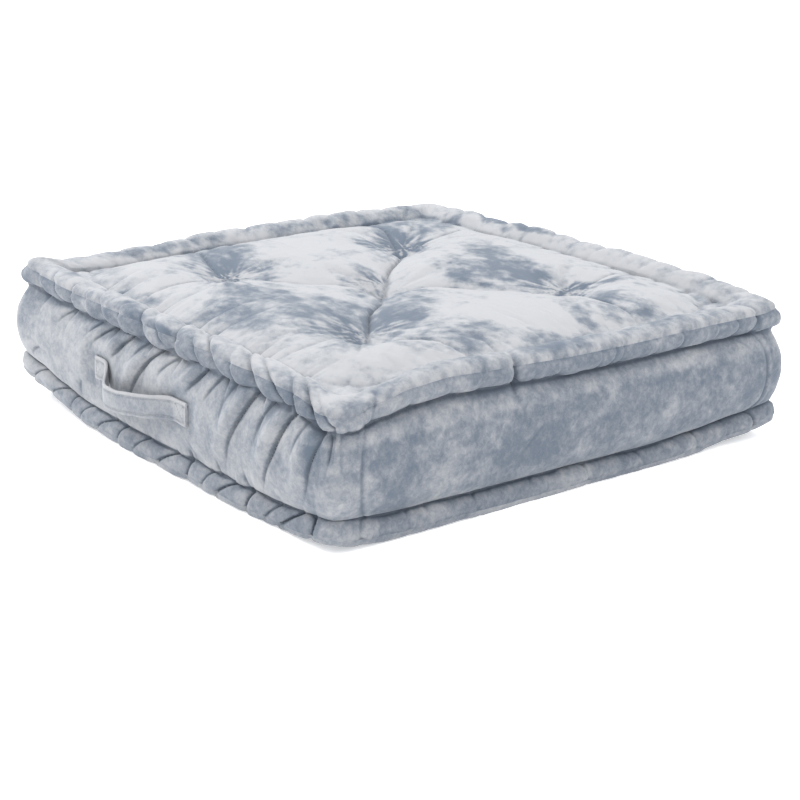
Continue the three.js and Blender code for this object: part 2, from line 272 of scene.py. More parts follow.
# Creases of the boxing: side, start (along, height), end (along, height), depth
BOX_CREASES = {
    "front": (
        (-190, 121, -204, 98, 2.5), (-127, 121, -142, 100, 3), (-104, 121, -132, 88, 4),
        (-62, 121, -100, 66, 6), (-32, 121, -48, 100, 3), (-4, 120, -46, 56, 6.5),
        (28, 122, 4, 92, 3.5), (82, 121, 44, 58, 6), (110, 121, 88, 88, 3.5),
        (138, 121, 122, 98, 2.5), (172, 121, 126, 34, 6.5), (206, 122, 178, 78, 3.5),
        (238, 121, 192, 24, 7), (258, 121, 240, 76, 3), (280, 117, 258, 36, 5),
        (292, 114, 290, 80, 4.5),
        (40, 56, 72, 26, 3), (-150, 52, -160, 30, 1.5), (-240, 60, -262, 40, 2),
        (120, 26, 112, 46, 2.5), (172, 26, 160, 48, 3), (66, 26, 60, 42, 2.5),
    ),
    "right": (
        (-292, 116, -286, 72, 4), (-276, 119, -270, 84, 3), (-206, 119, -196, 92, 2),
        (-172, 96, -178, 52, 2.6), (-80, 121, -68, 62, 3), (-50, 82, -74, 44, 2),
        (18, 121, 36, 88, 2.2), (60, 118, 58, 96, 1.8), (152, 119, 158, 96, 1.6),
        (240, 118, 252, 92, 3), (282, 116, 276, 80, 3.5), (-222, 28, -216, 44, 1.8),
        (-126, 28, -132, 42, 1.6), (70, 28, 66, 44, 1.6), (170, 28, 174, 46, 1.6),
    ),
    "back": (
        (-288, 116, -284, 74, 4), (-215, 121, -222, 84, 3.5), (-170, 121, -160, 92, 2.5),
        (-128, 121, -136, 78, 3.5), (-40, 121, -30, 70, 4), (52, 121, 42, 76, 4),
        (98, 121, 108, 90, 2.5), (140, 121, 134, 72, 3.5), (230, 121, 240, 80, 3.5),
        (286, 116, 282, 70, 4), (-100, 27, -94, 46, 2), (26, 27, 20, 48, 2.5),
        (150, 27, 158, 46, 2),
    ),
    "left": (
        (-286, 116, -282, 72, 4), (-220, 121, -210, 86, 3), (-176, 121, -184, 80, 3.5),
        (-90, 121, -82, 76, 4), (-42, 121, -50, 92, 2.5), (46, 121, 38, 84, 3),
        (92, 121, 104, 70, 4), (180, 121, 172, 82, 3.5), (226, 121, 232, 94, 2.5),
        (288, 116, 284, 74, 4), (-146, 27, -140, 46, 2), (64, 27, 70, 48, 2.5),
    ),
}
BOX_SEAMS = {"right": (-264.0, 268.0), "left": (-266.0, 262.0)}  # joins in the boxing strip
SEAM_DIP = 1.3  # how far the cloth turns in along a join, and stands out beside it
SEAM_LIP = 0.5

# Creases pulled into the crown by the tufts: from, to, depth, reach to each side
CROWN_CREASES = (
    ((-14, -2), (-126, -134), 18, 80), ((-14, -2), (136, -141), 20, 76),
    ((-14, -2), (122, 148), 18, 80), ((-14, -2), (-143, 128), 20, 74),
    ((-126, -134), (-262, -104), 11, 56), ((-126, -134), (-108, -262), 9, 52),
    ((136, -141), (262, -98), 10, 54), ((136, -141), (150, -262), 8, 50),
    ((122, 148), (262, 128), 11, 56), ((122, 148), (112, 262), 10, 54),
    ((-143, 128), (-262, 156), 12, 56), ((-143, 128), (-150, 262), 10, 52),
    ((-143, 128), (-250, 236), 5, 26), ((136, -141), (236, -236), 3, 26),
)
TUFT_DEPTH = 31.0
TUFT_REACH = 84.0
UNDER_DIMPLE = 13.0  # the dimples that the tufts pull into the underside
UNDER_DIMPLE_REACH = 46.0
CROWN_RISE = 17.5  # height of the padding over the crown's stitch line
CROWN_SLOPE = 88.0  # how far in from the stitch line the padding is full


# ---- the shape of the cover -------------------------------------------------------------


def crown_lift(x, y):
    """Height of the padded top over its stitch line, before the fine folds."""
    edge = (np.abs(x / CROWN_HALF) ** 8 + np.abs(y / CROWN_HALF) ** 8) ** 0.125
    inside = np.clip(1.0 - edge, 0, 1) * CROWN_HALF
    lift = CROWN_RISE * (1 - (1 - np.clip(inside / CROWN_SLOPE, 0, 1)) ** 2.7)
    crease = np.zeros_like(x)
    for (x0, y0), (x1, y1), depth, reach in CROWN_CREASES:
        length = hypot(x1 - x0, y1 - y0)
        ux, uy = (x1 - x0) / length, (y1 - y0) / length
        along = np.clip((x - x0) * ux + (y - y0) * uy, 0, length)
        wander = 3.0 * np.sin(along / 21.0 + x0) * np.sin(pi * along / length)
        away = np.hypot(x - x0 - along * ux + uy * wander, y - y0 - along * uy - ux * wander)
        fade = 1.0 if hypot(x1, y1) < 200 else 1.0 - 0.75 * ease(along / length)
        fold = depth * (1 - np.clip(away / reach, 0, 1) ** 0.74) ** 1.65 + 1.5 * np.exp(-away / 2.8)
        crease = np.maximum(crease, fade * fold)
    dimple = np.zeros_like(x)
    for away, _ in around_tufts(x, y):
        dimple = np.maximum(dimple, TUFT_DEPTH * np.clip(1 - away / TUFT_REACH, 0, 1) ** 2.3)
    return lift - (dimple**2.2 + crease**2.2) ** (1 / 2.2)


def around_tufts(x, y):
    """For each tuft in turn, the distance and the bearing of each point from it."""
    for tx, ty in TUFTS.values():
        yield np.hypot(x - tx, y - ty), np.arctan2(y - ty, x - tx)


def tuft_pleats(x, y):
    """Small folds that fan out from each tuft."""
    total = np.zeros_like(x)
    for i, (away, turn) in enumerate(around_tufts(x, y)):
        ring = np.stack([np.cos(turn) * 3, np.sin(turn) * 3, np.full_like(x, 7.0 * i)], -1)
        bend = turn + 0.25 * noise(ring, 1.0, 5 + i) + 0.002 * away
        folds = np.abs(np.sin(6.5 * bend + i)) * 0.7 + np.abs(np.sin(4.0 * bend + 2 * i)) * 0.8
        size = 1 + 0.7 * noise(ring, 1.3, 50 + i)
        total += (folds - 0.75) * size * ease(away / 14.0) * np.exp(-away / 24.0) * 1.7
    return total


def gathers(side, s, turn, table, form):
    """Depth of the gathers of one roll. turn runs from 0 at its inner line to 1 at its groove."""
    on_front, elsewhere, share, power = form
    left, right = on_front if side == "front" else elsewhere
    if LEAN[side] < 0:
        left, right = right, left
    depth = np.zeros_like(s)
    for i, (place, size) in enumerate(table[side]):
        lean = LEAN[side] * (0.7 + 0.5 * sin(i * 2.1))
        x = s - place - lean * (turn - 0.6) + 2.0 * np.sin(turn * 5 + i)
        depth = np.maximum(depth, size * share * valley(x, left, right) ** power)
    return depth * GATHER_STRENGTH[side]


def box_folds(side, s, z):
    """Outward movement of the boxing from its creases: a sharp line with a soft ridge by it."""
    out = np.zeros_like(s)
    for i, (s0, z0, s1, z1, depth) in enumerate(BOX_CREASES[side]):
        run = np.clip((z - z0) / (z1 - z0), -0.2, 1.15)
        inside = ease((run + 0.15) / 0.15) * ease((1.15 - run) / 1.0)
        down = np.clip(run, 0, 1)
        line = s0 + (s1 - s0) * (1.9 * down - 0.9 * down**2) + 1.2 * np.sin(z / 9.0 + i)
        hand = 1.0 if s1 > s0 else -1.0
        x = (s - line) * hand
        sharp = np.exp(-np.abs(x) / 2.4) * depth * 0.75
        hollow = bell(x + 9, 12.0) * depth * 0.42
        ridge = bell(x - 14, 12.0) * depth * 0.62
        out += (ridge - hollow - sharp) * inside * FOLD_STRENGTH[side]
    return out


def outline(a, b, p):
    """Places on a square of half width 1 with corners rounded by exponent p."""
    shrink = (np.abs(a) ** p + np.abs(b) ** p) ** (-1.0 / p)
    return a * shrink, b * shrink


def outline_normal(a, b, p):
    """Outward directions at the same places."""
    nx = np.sign(a) * np.abs(a) ** (p - 1)
    ny = np.sign(b) * np.abs(b) ** (p - 1)
    size = np.hypot(nx, ny)
    return nx / size, ny / size


def each_side(a, b):
    """For each side: its name, its mask on a square ring and the place along it, -1 to 1."""
    near = np.maximum(np.abs(a), np.abs(b))
    flat = near - 1e-9
    return (
        ("front", b <= -flat, a),
        ("right", (a >= flat) & (b > -flat), b),
        ("back", (b >= flat) & (a < flat), -a),
        ("left", (a <= -flat) & (b < flat) & (b > -flat), -b),
    )


def per_side(a, b, work):
    """Runs work(side, s, mask) on each side's points, s along it, and joins the results."""
    total = np.zeros_like(a)
    for side, mask, t in each_side(a, b):
        if mask.any():
            total[mask] = work(side, t[mask] * HALF, mask)
    return total


def side_value(a, b, table):
    """The one value that a table gives for each side."""
    return per_side(a, b, lambda side, s, mask: table[side] + 0 * s)


def gathered(a, b, turn, table, form):
    """Depth of one roll's gathers all the way round."""
    return per_side(a, b, lambda side, s, mask: gathers(side, s, turn[mask], table, form))


def low_bow(a, b):
    """Outward sweep of the lower roll, most at the middle of each side."""
    return per_side(a, b, lambda side, s, mask: LOW_BOW[side] * (1 - (s / HALF) ** 2))


def corner_near(a, b, reach):
    """1 at the corners of a square ring, falling over reach along its sides."""
    t = np.minimum(np.abs(a), np.abs(b))
    return np.exp(-HALF * (1 - t) / reach)


def stepped(knots, s):
    """A value read from places and heights, with a soft step between each two."""
    total = np.full_like(s, float(knots[0][1]))
    for (s0, v0), (s1, v1) in zip(knots, knots[1:]):
        run = (s - s0) / (s1 - s0)
        total += (v1 - v0) * (0.5 * ease(run) + 0.5 * np.clip(run, 0, 1))
    return total


def rise(a, b, table):
    """Rise and fall of a roll all the way round."""
    return per_side(a, b, lambda side, s, mask: stepped(table[side], s))


def ears(a, b, table):
    """Outward push near the corners named in a table."""
    total = np.zeros_like(a)
    for (sx, sy), push in table.items():
        total += push * np.exp(-HALF * np.hypot(a - sx, b - sy) / EAR_REACH)
    return total


def blunt(a, b):
    """1 at the corner nearest the handle's right end, whose ear is folded down and rounded."""
    return np.exp(-HALF * np.hypot(a - 1, b + 1) / BLUNT_REACH)


def filled(a, b, table):
    """How far a groove is filled: most at the corners."""
    return np.maximum(CORNER_FILL * corner_near(a, b, CORNER_FILL_REACH), side_value(a, b, table))


def fill_groove(u, share):
    """Moves the points of a groove outwards by a share of their depth."""
    return np.where(u < 0, u * (1 - share), u)


def inward(u, z, middle):
    """Direction from points of a roll's section to its middle."""
    cu, cz = u - middle[0], z - middle[1]
    size = np.maximum(np.hypot(cu, cz), 1e-6)
    return -cu / size, -cz / size


TOP_WANDER = 3  # seeds of the two rolls' wander
LOW_WANDER = 8


def roll_shift(a, b, seed):
    """Slow wander of a roll's nose line: outwards and upwards."""
    p = np.stack([a * HALF, b * HALF, np.full_like(a, 11.0 * seed)], -1)
    fade = 1 - corner_near(a, b, 25.0)
    return 1.7 * noise(p, 70.0, seed) * fade, 1.4 * noise(p, 85.0, seed + 1) * fade


def top_roll_point(a, b, u, z, turn):
    """Points of the upper roll. turn is 0 at the crown's stitch line and 1 at the groove."""
    depth = gathered(a, b, turn, TOP_GATHERS, TOP_FORM)
    strength = np.interp(turn, [0, 0.12, 0.3, 0.55, 0.75, 1.0], [0.4, 0.3, 0.38, 0.65, 0.95, 0.9])
    depth = np.minimum(depth * strength, GATHER_CAP)
    depth = depth + 1.1 * bell(turn - TOP_NOSE, 0.045)
    start, tip, under, near = ease(turn / 0.25), ease(turn / 0.5), ease((turn - 0.6) / 0.4), blunt(a, b)
    inward_u, inward_z = inward(u, z, TOP_MIDDLE)
    inward_u = inward_u * start
    inward_z = inward_z * start - (1 - start)
    u = fill_groove(u, filled(a, b, TOP_FILL) * ease((turn - 0.6) / 0.3))
    wide, high = roll_shift(a, b, TOP_WANDER)
    high = high + rise(a, b, TOP_RISE) * (0.6 + 0.4 * tip)
    x0, y0 = outline(a, b, 60.0 - 33.0 * ease(turn / 0.62) + 19.0 * under * (1 - near))
    high = high + BLUNT_DROP * near * under
    out = u + inward_u * depth + (wide + ears(a, b, TOP_EARS)) * tip
    up = z + inward_z * depth + high
    slant = per_side(a, b, lambda side, s, mask: s - LEAN[side] * turn[mask])
    ribs = noise(np.stack([slant, turn * 9.0, 0 * slant], -1), 9.0, 23)
    ribbed = 0.5 * side_value(a, b, GATHER_STRENGTH)
    place = np.stack([x0 * HALF, y0 * HALF, z + u], -1)
    swell = lumps(place, (1.4, 34.0, 21), (0.6, 13.0, 22)) + ribbed * ribs
    reach = HALF + (out - inward_u * swell)
    return np.stack([x0 * reach, y0 * reach, up - inward_z * swell], -1)


def low_roll_point(a, b, u, z, turn):
    """Points of the lower roll. turn is 0 at the underside and 1 at the groove."""
    depth = gathered(a, b, turn, LOW_GATHERS, LOW_FORM)
    depth = depth * np.interp(turn, [0, 0.35, 0.6, 0.8, 1.0], [0.0, 0.35, 0.8, 1.0, 1.0])
    depth = depth + 0.9 * bell(turn - LOW_NOSE, 0.05)
    inward_u, inward_z = inward(u, z, LOW_MIDDLE)
    u = fill_groove(u, filled(a, b, LOW_FILL) * ease((turn - 0.6) / 0.3))
    wide, high = roll_shift(a, b, LOW_WANDER)
    x0, y0 = outline(a, b, 46.0 - 6.0 * ease((1 - turn) * 2))
    tip = ease(turn / 0.4)
    out = u + inward_u * depth + (wide + low_bow(a, b) + ears(a, b, LOW_EARS)) * tip
    up = z + inward_z * depth + high * 0.6 * tip + rise(a, b, LOW_RISE) * ease((u + 41) / 30)
    place = np.stack([x0 * HALF, y0 * HALF, z + u + 400], -1)
    swell = lumps(place, (1.2, 30.0, 25), (0.5, 12.0, 26)) * ease(turn / 0.5)
    reach = HALF + out - inward_u * swell
    return np.stack([x0 * reach, y0 * reach, np.maximum(up - inward_z * swell, 0.0)], -1)


def strap_bed(side, s, z):
    """1 where the sewn ends of the handle hold the boxing flat."""
    bed = np.zeros_like(s)
    if side != "front":
        return bed
    for middle in TAB_X.values():
        aside = np.clip(np.abs(s - middle) - BED_HALF[0], 0, None)
        above = np.clip(np.abs(z - STRAP_Z) - BED_HALF[1], 0, None)
        bed = np.maximum(bed, 1 - ease(np.hypot(aside, above) / BED_FADE))
    return bed


def box_middle_point(a, b, u, z, place):
    """Points of the boxing between the grooves. place is 0 at the upper, 1 at the lower one."""
    top_fill = filled(a, b, TOP_FILL) * (1 - ease(place / 0.3))
    u = fill_groove(u, top_fill + filled(a, b, LOW_FILL) * ease((place - 0.7) / 0.3))
    near = blunt(a, b) * (1 - ease(place / 0.4))
    p = 46.0 - 12.0 * np.sin(pi * place) ** 0.7 - 19.0 * near
    x0, y0 = outline(a, b, p)
    nx, ny = outline_normal(a, b, p)
    flat = np.stack([x0 * HALF, y0 * HALF, z], -1)
    bulge = lumps(flat, (1.9, 75.0, 12), (0.8, 30.0, 13), (0.28, 11.0, 14))
    bulge = bulge * ease(np.sin(pi * place) * 1.6)
    folds = per_side(a, b, lambda side, s, mask: box_folds(side, s, z[mask]))
    tug = gathered(a, b, np.ones_like(a), TOP_GATHERS, TOP_FORM)
    pull = gathered(a, b, np.ones_like(a), LOW_GATHERS, LOW_FORM)
    folds = folds - 0.55 * tug * np.exp(-place * 6.0) - 0.6 * pull * np.exp(-(1 - place) * 8.0)
    bed = per_side(a, b, lambda side, s, mask: strap_bed(side, s, z[mask]))
    swing = (bulge + folds) * (1 - bed)
    up = z + BLUNT_DROP * near
    up = up + rise(a, b, TOP_RISE) * (1 - place) ** 1.3 + rise(a, b, LOW_RISE) * place**1.1
    wide_t, high_t = roll_shift(a, b, TOP_WANDER)
    wide_l, high_l = roll_shift(a, b, LOW_WANDER)
    wide_t, wide_l = wide_t + ears(a, b, TOP_EARS), wide_l + ears(a, b, LOW_EARS)
    top, low = 1 - ease(place / 0.35), ease((place - 0.65) / 0.35)
    up = up + high_t * top + 0.6 * high_l * low
    out = u + swing + wide_t * top + (wide_l + low_bow(a, b)) * low
    out = out + ears(a, b, BOX_EARS) * np.sin(pi * place**1.5)
    out = out * (1 - bed) + BED_OUT * bed
    return np.stack([x0 * (HALF + u) + nx * (out - u), y0 * (HALF + u) + ny * (out - u), up], -1)


def boxing_point(a, b, knot, uz):
    """Points of the boxing at one row: the roll's underside, the flat side, the lower roll."""
    u, z = np.full_like(a, uz[0]), np.full_like(a, uz[1])
    if knot <= TOP_GROOVE:
        turn = TOP_NOSE + (1 - TOP_NOSE) * knot / TOP_GROOVE
        return top_roll_point(a, b, u, z, np.full_like(a, turn))
    if knot >= LOW_GROOVE:
        end = (knot - LOW_GROOVE) / (len(BOXING) - 1 - LOW_GROOVE)
        return low_roll_point(a, b, u, z, np.full_like(a, 1.0 - (1 - LOW_NOSE) * end))
    place = (knot - TOP_GROOVE) / (LOW_GROOVE - TOP_GROOVE)
    return box_middle_point(a, b, u, z, np.full_like(a, place))


def square_rings(cells, rows, p):
    """A grid seen as square rings: the crown's last ring, and each point's ring, direction and place."""
    inner = cells // 2 - (rows - 1)
    i = np.arange(cells + 1) - cells // 2
    a, b = np.meshgrid(i, i, indexing="ij")
    ring = np.maximum(np.abs(a), np.abs(b))
    near = np.maximum(ring, 1)
    da, db = a / near, b / near
    x0, y0 = outline(np.where(ring, da, 1.0), np.where(ring, db, 0.0), p)
    reach = CROWN_HALF * ring / inner
    return inner, ring, da, db, np.where(ring, x0 * reach, 0.0), np.where(ring, y0 * reach, 0.0)


def wrap_roll(points, rings, roll, nose, roll_point):
    """Puts the rings outside the crown on a roll, out to its nose seam."""
    inner, ring, da, db = rings
    for k in range(1, len(roll)):
        on = ring == inner + k
        u, z = np.full(on.sum(), roll[k, 0]), np.full(on.sum(), roll[k, 1])
        turn = np.full(on.sum(), nose * k / (len(roll) - 1))
        points[on] = roll_point(da[on], db[on], u, z, turn)


def top_cover(cells):
    """Grid of points of the top panel, from nose line to nose line."""
    roll, _ = spline(TOP_ROLL, count=int(round(cells * TOP_ROWS)))
    inner, ring, da, db, x, y = square_rings(cells, len(roll), 60.0)
    flat = np.stack([x, y, np.zeros_like(x)], -1)
    lift = crown_lift(x, y)
    calm = 1.0
    for away, _ in around_tufts(x, y):
        calm = calm * (1 - 0.85 * bell(away, 22.0))
    uneven = lumps(flat, (2.2, 78.0, 1), (1.0, 34.0, 2), (0.36, 15.0, 3))
    edge = np.clip(CROWN_HALF - np.maximum(np.abs(x), np.abs(y)), 0, None)
    lift = lift + uneven * calm * ease(edge / 40.0) + tuft_pleats(x, y) * ease(edge / 60.0)
    sides = {"front": (x, -y), "right": (y, x), "back": (-x, y), "left": (-y, -x)}
    for side, (along, out) in sides.items():
        inside = np.clip(CROWN_HALF - out, 0, None)
        tug = gathers(side, along * HALF / CROWN_HALF, np.zeros_like(x), TOP_GATHERS, TOP_FORM) * 0.75
        lift -= tug * np.exp(-inside / 15.0)
    _, high = roll_shift(da, db, TOP_WANDER)
    high = high + 0.6 * rise(da, db, TOP_RISE)
    points = np.stack([x, y, TOP_ROLL[0][1] + lift + high * np.exp(-edge / 40.0)], -1)
    wrap_roll(points, (inner, ring, da, db), roll, TOP_NOSE, top_roll_point)
    return points


def ring_directions(cells):
    """Directions round a square ring, counter-clockwise from the front left corner."""
    t = np.linspace(-1, 1, cells + 1)[:-1]
    one = np.ones_like(t)
    a = np.concatenate([t, one, -t, -one])
    b = np.concatenate([-one, t, one, -t])
    return a, b


def seam_column(side, place, cells):
    """Column of the boxing's grid at a place along a side."""
    return SIDES.index(side) * cells + int(round((place / HALF + 1) / 2 * cells))


def boxing_cover(cells, spacing):
    """Rows of points of the boxing, from the upper nose line to the lower one."""
    a, b = ring_directions(cells)
    rows, knots = spline(BOXING, spacing=spacing)
    points = np.stack([boxing_point(a, b, k, uz) for uz, k in zip(rows, knots)])
    for side, seams in BOX_SEAMS.items():
        for place in seams:
            along = (np.arange(4 * cells) - seam_column(side, place, cells)) * 2 * HALF / cells
            dip = SEAM_DIP * bell(along, 2.3) * np.where(np.abs(along) < 12, 1, 0)
            lip = SEAM_LIP * bell(along - 4.5, 2.6)
            outward = 1.0 if side == "right" else -1.0
            points[:, :, 0] -= outward * (dip - lip)[None, :]
    return points


def under_cover(cells):
    """Grid of points of the underside, from nose line to nose line."""
    roll, _ = spline(UNDER, count=int(round(cells * LOW_ROWS)))
    roll = roll[::-1]
    inner, ring, da, db, x, y = square_rings(cells, len(roll), 40.0)
    z = np.zeros_like(x)
    for away, _ in around_tufts(x, y):
        z += UNDER_DIMPLE * np.clip(1 - away / UNDER_DIMPLE_REACH, 0, 1) ** 2.2
    points = np.stack([x, y, z], -1)
    wrap_roll(points, (inner, ring, da, db), roll, LOW_NOSE, low_roll_point)
    return points


def blur(grid, cells):
    """A wide soft average of a grid."""
    kernel = np.hanning(2 * cells + 3)[1:-1]
    kernel /= kernel.sum()
    for axis in (0, 1):
        pad = [(cells, cells) if i == axis else (0, 0) for i in range(grid.ndim)]
        padded = np.pad(grid, pad, mode="edge")
        grid = np.apply_along_axis(lambda line: np.convolve(line, kernel, mode="valid"), axis, padded)
    return grid


def fold_depth(points, fine, cells, closed=False):
    """How deep each point of a cover lies in a fold, small folds and larger ones together."""
    deep = hollows(points, 2, closed) * fine + hollows(points, 5, closed) * 0.35
    return blur(deep, cells)


def hollows(points, reach, closed=False):
    """How deep each point of a grid lies between its neighbours: above 0 in folds, below 0 on ridges."""
    p = points
    if closed:
        p = np.concatenate([p[:, -reach - 1:], p, p[:, : reach + 1]], 1)
    normal = np.cross(np.gradient(p, axis=0), np.gradient(p, axis=1))
    normal /= np.maximum(np.linalg.norm(normal, axis=-1, keepdims=True), 1e-9)
    q = np.pad(p, ((reach, reach), (reach, reach), (0, 0)), mode="reflect", reflect_type="odd")
    r, n, m = reach, p.shape[0], p.shape[1]
    mean = np.zeros_like(p)
    for i, j in ((-r, 0), (r, 0), (0, -r), (0, r)):
        mean += q[r + i : r + i + n, r + j : r + j + m] / 4
    deep = ((mean - p) * normal).sum(-1)
    return deep[:, reach + 1 : -reach - 1] if closed else deep


# ---- brushed pile with painted light and shade: how dark the velvet is, 0 to 1 ----------

# Dark patches of the crown: middle, half lengths, turn in degrees, strength
CROWN_PATCHES = (
    ((-180, 146), (116, 48), -32, 1.0), ((-222, 238), (64, 30), -12, 0.7),
    ((-288, 105), (26, 66), 8, 0.5), ((12, 152), (132, 46), -20, 0.86),
    ((25, 112), (84, 40), -15, 0.8), ((122, 178), (22, 62), 8, 1.0),
    ((200, 150), (62, 44), -15, 0.72), ((205, 86), (58, 24), -28, 0.7),
    ((92, 12), (34, 44), -20, 0.2), ((72, -74), (112, 62), -48, 0.92),
    ((196, -82), (52, 64), 10, 0.7), ((15, -165), (104, 98), -25, 0.74),
    ((100, -140), (90, 34), -30, 0.7), ((-184, -104), (126, 56), -24, 0.98),
    ((-112, -250), (54, 18), 0, 0.6), ((-240, -245), (30, 22), 0, 0.35),
    ((-38, 2), (52, 22), -36, 0.6), ((262, 10), (26, 80), 6, 0.5),
    ((240, 235), (64, 24), -20, 0.36), ((-20, -296), (150, 22), 0, 0.55),
    ((-290, -120), (22, 110), 0, 0.5), ((-150, 306), (90, 12), 0, 0.8),
)
# Pale patches inside the dark ones
CROWN_GLEAMS = (
    ((-10, 178), (26, 12), -20, 0.5), ((-52, 150), (22, 14), 0, 0.4), ((12, -84), (66, 16), 22, 0.45),
    ((170, 40), (66, 42), -30, 0.7), ((-120, -118), (40, 9), -26, 0.4), ((-200, 178), (50, 9), -35, 0.4),
    ((-60, -205), (34, 12), -20, 0.35), ((110, 62), (36, 24), 20, 0.5),
)


# Pale places of the boxing's right side: middle and half lengths (along, height), strength
BOX_GLEAMS = (
    ((-150, 62), (70, 34), 0.24), ((90, 60), (80, 24), 0.35), ((-292, 60), (46, 60), 0.4),
)


def patches(x, y, table):
    """Soft ovals joined by the strongest."""
    best = np.zeros_like(x)
    for (cx, cy), (rx, ry), turn, strength in table:
        c, s = cos(radians(turn)), sin(radians(turn))
        px, py = (x - cx) * c + (y - cy) * s, -(x - cx) * s + (y - cy) * c
        best = np.maximum(best, strength * (1 - ease((np.hypot(px / rx, py / ry) - 0.4) / 0.9)))
    return best


def crown_nap_and_shade(points):
    """Darkness of the velvet on the top panel: brushed pile, with painted shade on the right roll."""
    x, y, z = points[..., 0], points[..., 1], points[..., 2]
    flat = np.stack([x, y, np.zeros_like(x)], -1)
    x = x + 2.1 * (148.0 - z) * ease((z - 128) / 8.0)
    y = y - 1.7 * (148.0 - z) * ease((z - 128) / 8.0)
    warp_x = x + 16 * noise(flat, 40.0, 61) + 7 * noise(flat, 14.0, 62)
    warp_y = y + 16 * noise(flat, 40.0, 63) + 7 * noise(flat, 14.0, 64)
    base = patches(warp_x, warp_y, CROWN_PATCHES) - patches(warp_x, warp_y, CROWN_GLEAMS)
    # Darker over the outer faces of the rolls and along the front nose; the extra darkening of the right roll
    # is painted shade, as on the right side.
    rim = np.maximum(np.abs(points[..., 0]), np.abs(points[..., 1]))
    base = base + 0.28 * ease((rim - 262) / 12.0) + 0.22 * ease((points[..., 0] - 262) / 12.0)
    base = base + 0.2 * ease((-points[..., 1] - 286) / 10.0)
    streak = np.zeros_like(x)
    for i, (away, turn) in enumerate(around_tufts(x, y)):
        fan = np.stack([np.cos(turn) * 26, np.sin(turn) * 26, away * 0.12 + 40 * i], -1)
        strands = noise(fan, 3.2, 70 + i) + 0.6 * noise(fan, 1.5, 76 + i)
        streak += strands * np.exp(-away / 75.0) * ease(away / 8.0)
    cloud = layers(flat, 30.0, 66, 4, 0.66) + 0.5 * layers(flat, 9.0, 67, 2, 0.7)
    return 0.95 * base + 0.9 * streak * (0.3 + base) + 0.52 * cloud - 0.02


def boxing_nap_and_shade(points):
    """Darkness of the velvet on the boxing: brushed pile, smooth and pale in front and cloudy on the right,
    with painted light and shade.
    """
    x, y, z = points[..., 0], points[..., 1], points[..., 2]
    cloud = layers(points * np.array([1, 1, 1.5]), 46.0, 81, 5, 0.6)
    fine = layers(points, 12.0, 86, 3, 0.6)
    right = ease((x - 250) / 40.0)
    front = ease((-y - 250) / 40.0) * (1 - right)
    rest = 1 - np.maximum(right, front)
    pale = np.zeros_like(x)
    for (cy, cz), (ry, rz), strength in BOX_GLEAMS:
        spot = np.exp(-(((y - cy) / ry) ** 2 + ((z - cz) / rz) ** 2)) * strength
        pale = np.maximum(pale, spot)
    # Painted shade: the right side, turned away from the key light, starts far darker than the others; its
    # pale spots and clouds are the pile.
    on_right = 0.92 - pale + 0.44 * cloud + 0.3 * fine
    on_front = 0.42 + 0.14 * ease((z - 116) / 8.0) + 0.34 * cloud + 0.2 * fine
    on_front = on_front + 0.1 * ease((x - 60) / 220.0)
    on_rest = 0.45 + 0.5 * cloud + 0.2 * fine
    # Darker, unevenly, towards the top of the boxing.
    tops = ease((z - 96) / 26.0) * (0.5 + noise(points, 22.0, 88)) * 0.4
    # Painted shade: darker along the lower roll on the front, back and left, under the boxing's bulge, and a
    # little lighter along it on the right.
    low = (0.32 - 0.42 * right) * ease((30 - z) / 8.0) + tops * np.maximum(front, rest)
    # Painted light: a lighter band on the right just under the upper roll, easing the shade that the roll
    # casts there.
    on_right = np.minimum(on_right, 0.97) - 0.24 * ease((z - 98) / 8.0) * (1 - ease((z - 117) / 5.0))
    # Lighter on the upper roll's face towards the front corner.
    on_right -= 0.24 * ease((z - 116) / 5.0) * ease((-90 - y) / 120.0)
    return right * on_right + front * on_front + rest * on_rest + low


# ---- meshes -----------------------------------------------------------------------------


def deselect():
    """Leaves nothing selected."""
    for o in bpy.context.view_layer.objects:
        o.select_set(False)


def activate(obj):
    """Makes one object the selected and active one."""
    deselect()
    obj.select_set(True)
    bpy.context.view_layer.objects.active = obj


def mesh_object(name, points, faces):
    """An object from points in millimetres and faces."""
    mesh = bpy.data.meshes.new(name)
    mesh.from_pydata((np.asarray(points).reshape(-1, 3) * MM).tolist(), [], faces)
    mesh.update()
    obj = bpy.data.objects.new(name, mesh)
    bpy.context.scene.collection.objects.link(obj)
    return obj


def grid_faces(rows, columns, closed=False, flip=False):
    """Quads of a grid of points, rows by columns, closed round its columns or not."""
    r = np.arange(rows - 1)[:, None] * columns
    c = np.arange(columns if closed else columns - 1)[None, :]
    n = (c + 1) % columns
    quads = np.stack([r + c, r + n, r + columns + n, r + columns + c], -1).reshape(-1, 4)
    return (quads[:, ::-1] if flip else quads).tolist()


def store(obj, name, values):
    """Keeps one number per point for the material."""
    attribute = obj.data.attributes.new(name, "FLOAT", "POINT")
    attribute.data.foreach_set("value", np.asarray(values, np.float32).ravel())


def thicken(obj):
    """Gives a skin its cloth thickness, inwards."""
    activate(obj)
    solid = obj.modifiers.new("cloth", "SOLIDIFY")
    solid.thickness = CLOTH * MM
    solid.offset = -1.0
    solid.use_even_offset = False
    bpy.ops.object.modifier_apply(modifier=solid.name)


def smooth_shading(obj, degrees):
    """Smooth shading across edges flatter than an angle."""
    activate(obj)
    bpy.ops.object.shade_smooth_by_angle(angle=radians(degrees))
    deselect()


def finish_piece(obj, material, nodes=(), body=BODY, smooth=50):
    """Smooths a piece, gives it its finish, ties it to its body and hides the CAD nodes it stands for."""
    smooth_shading(obj, smooth)
    obj.data.materials.clear()
    obj.data.materials.append(material)
    if body:
        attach(obj, body)
    if nodes:
        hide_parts(*nodes)


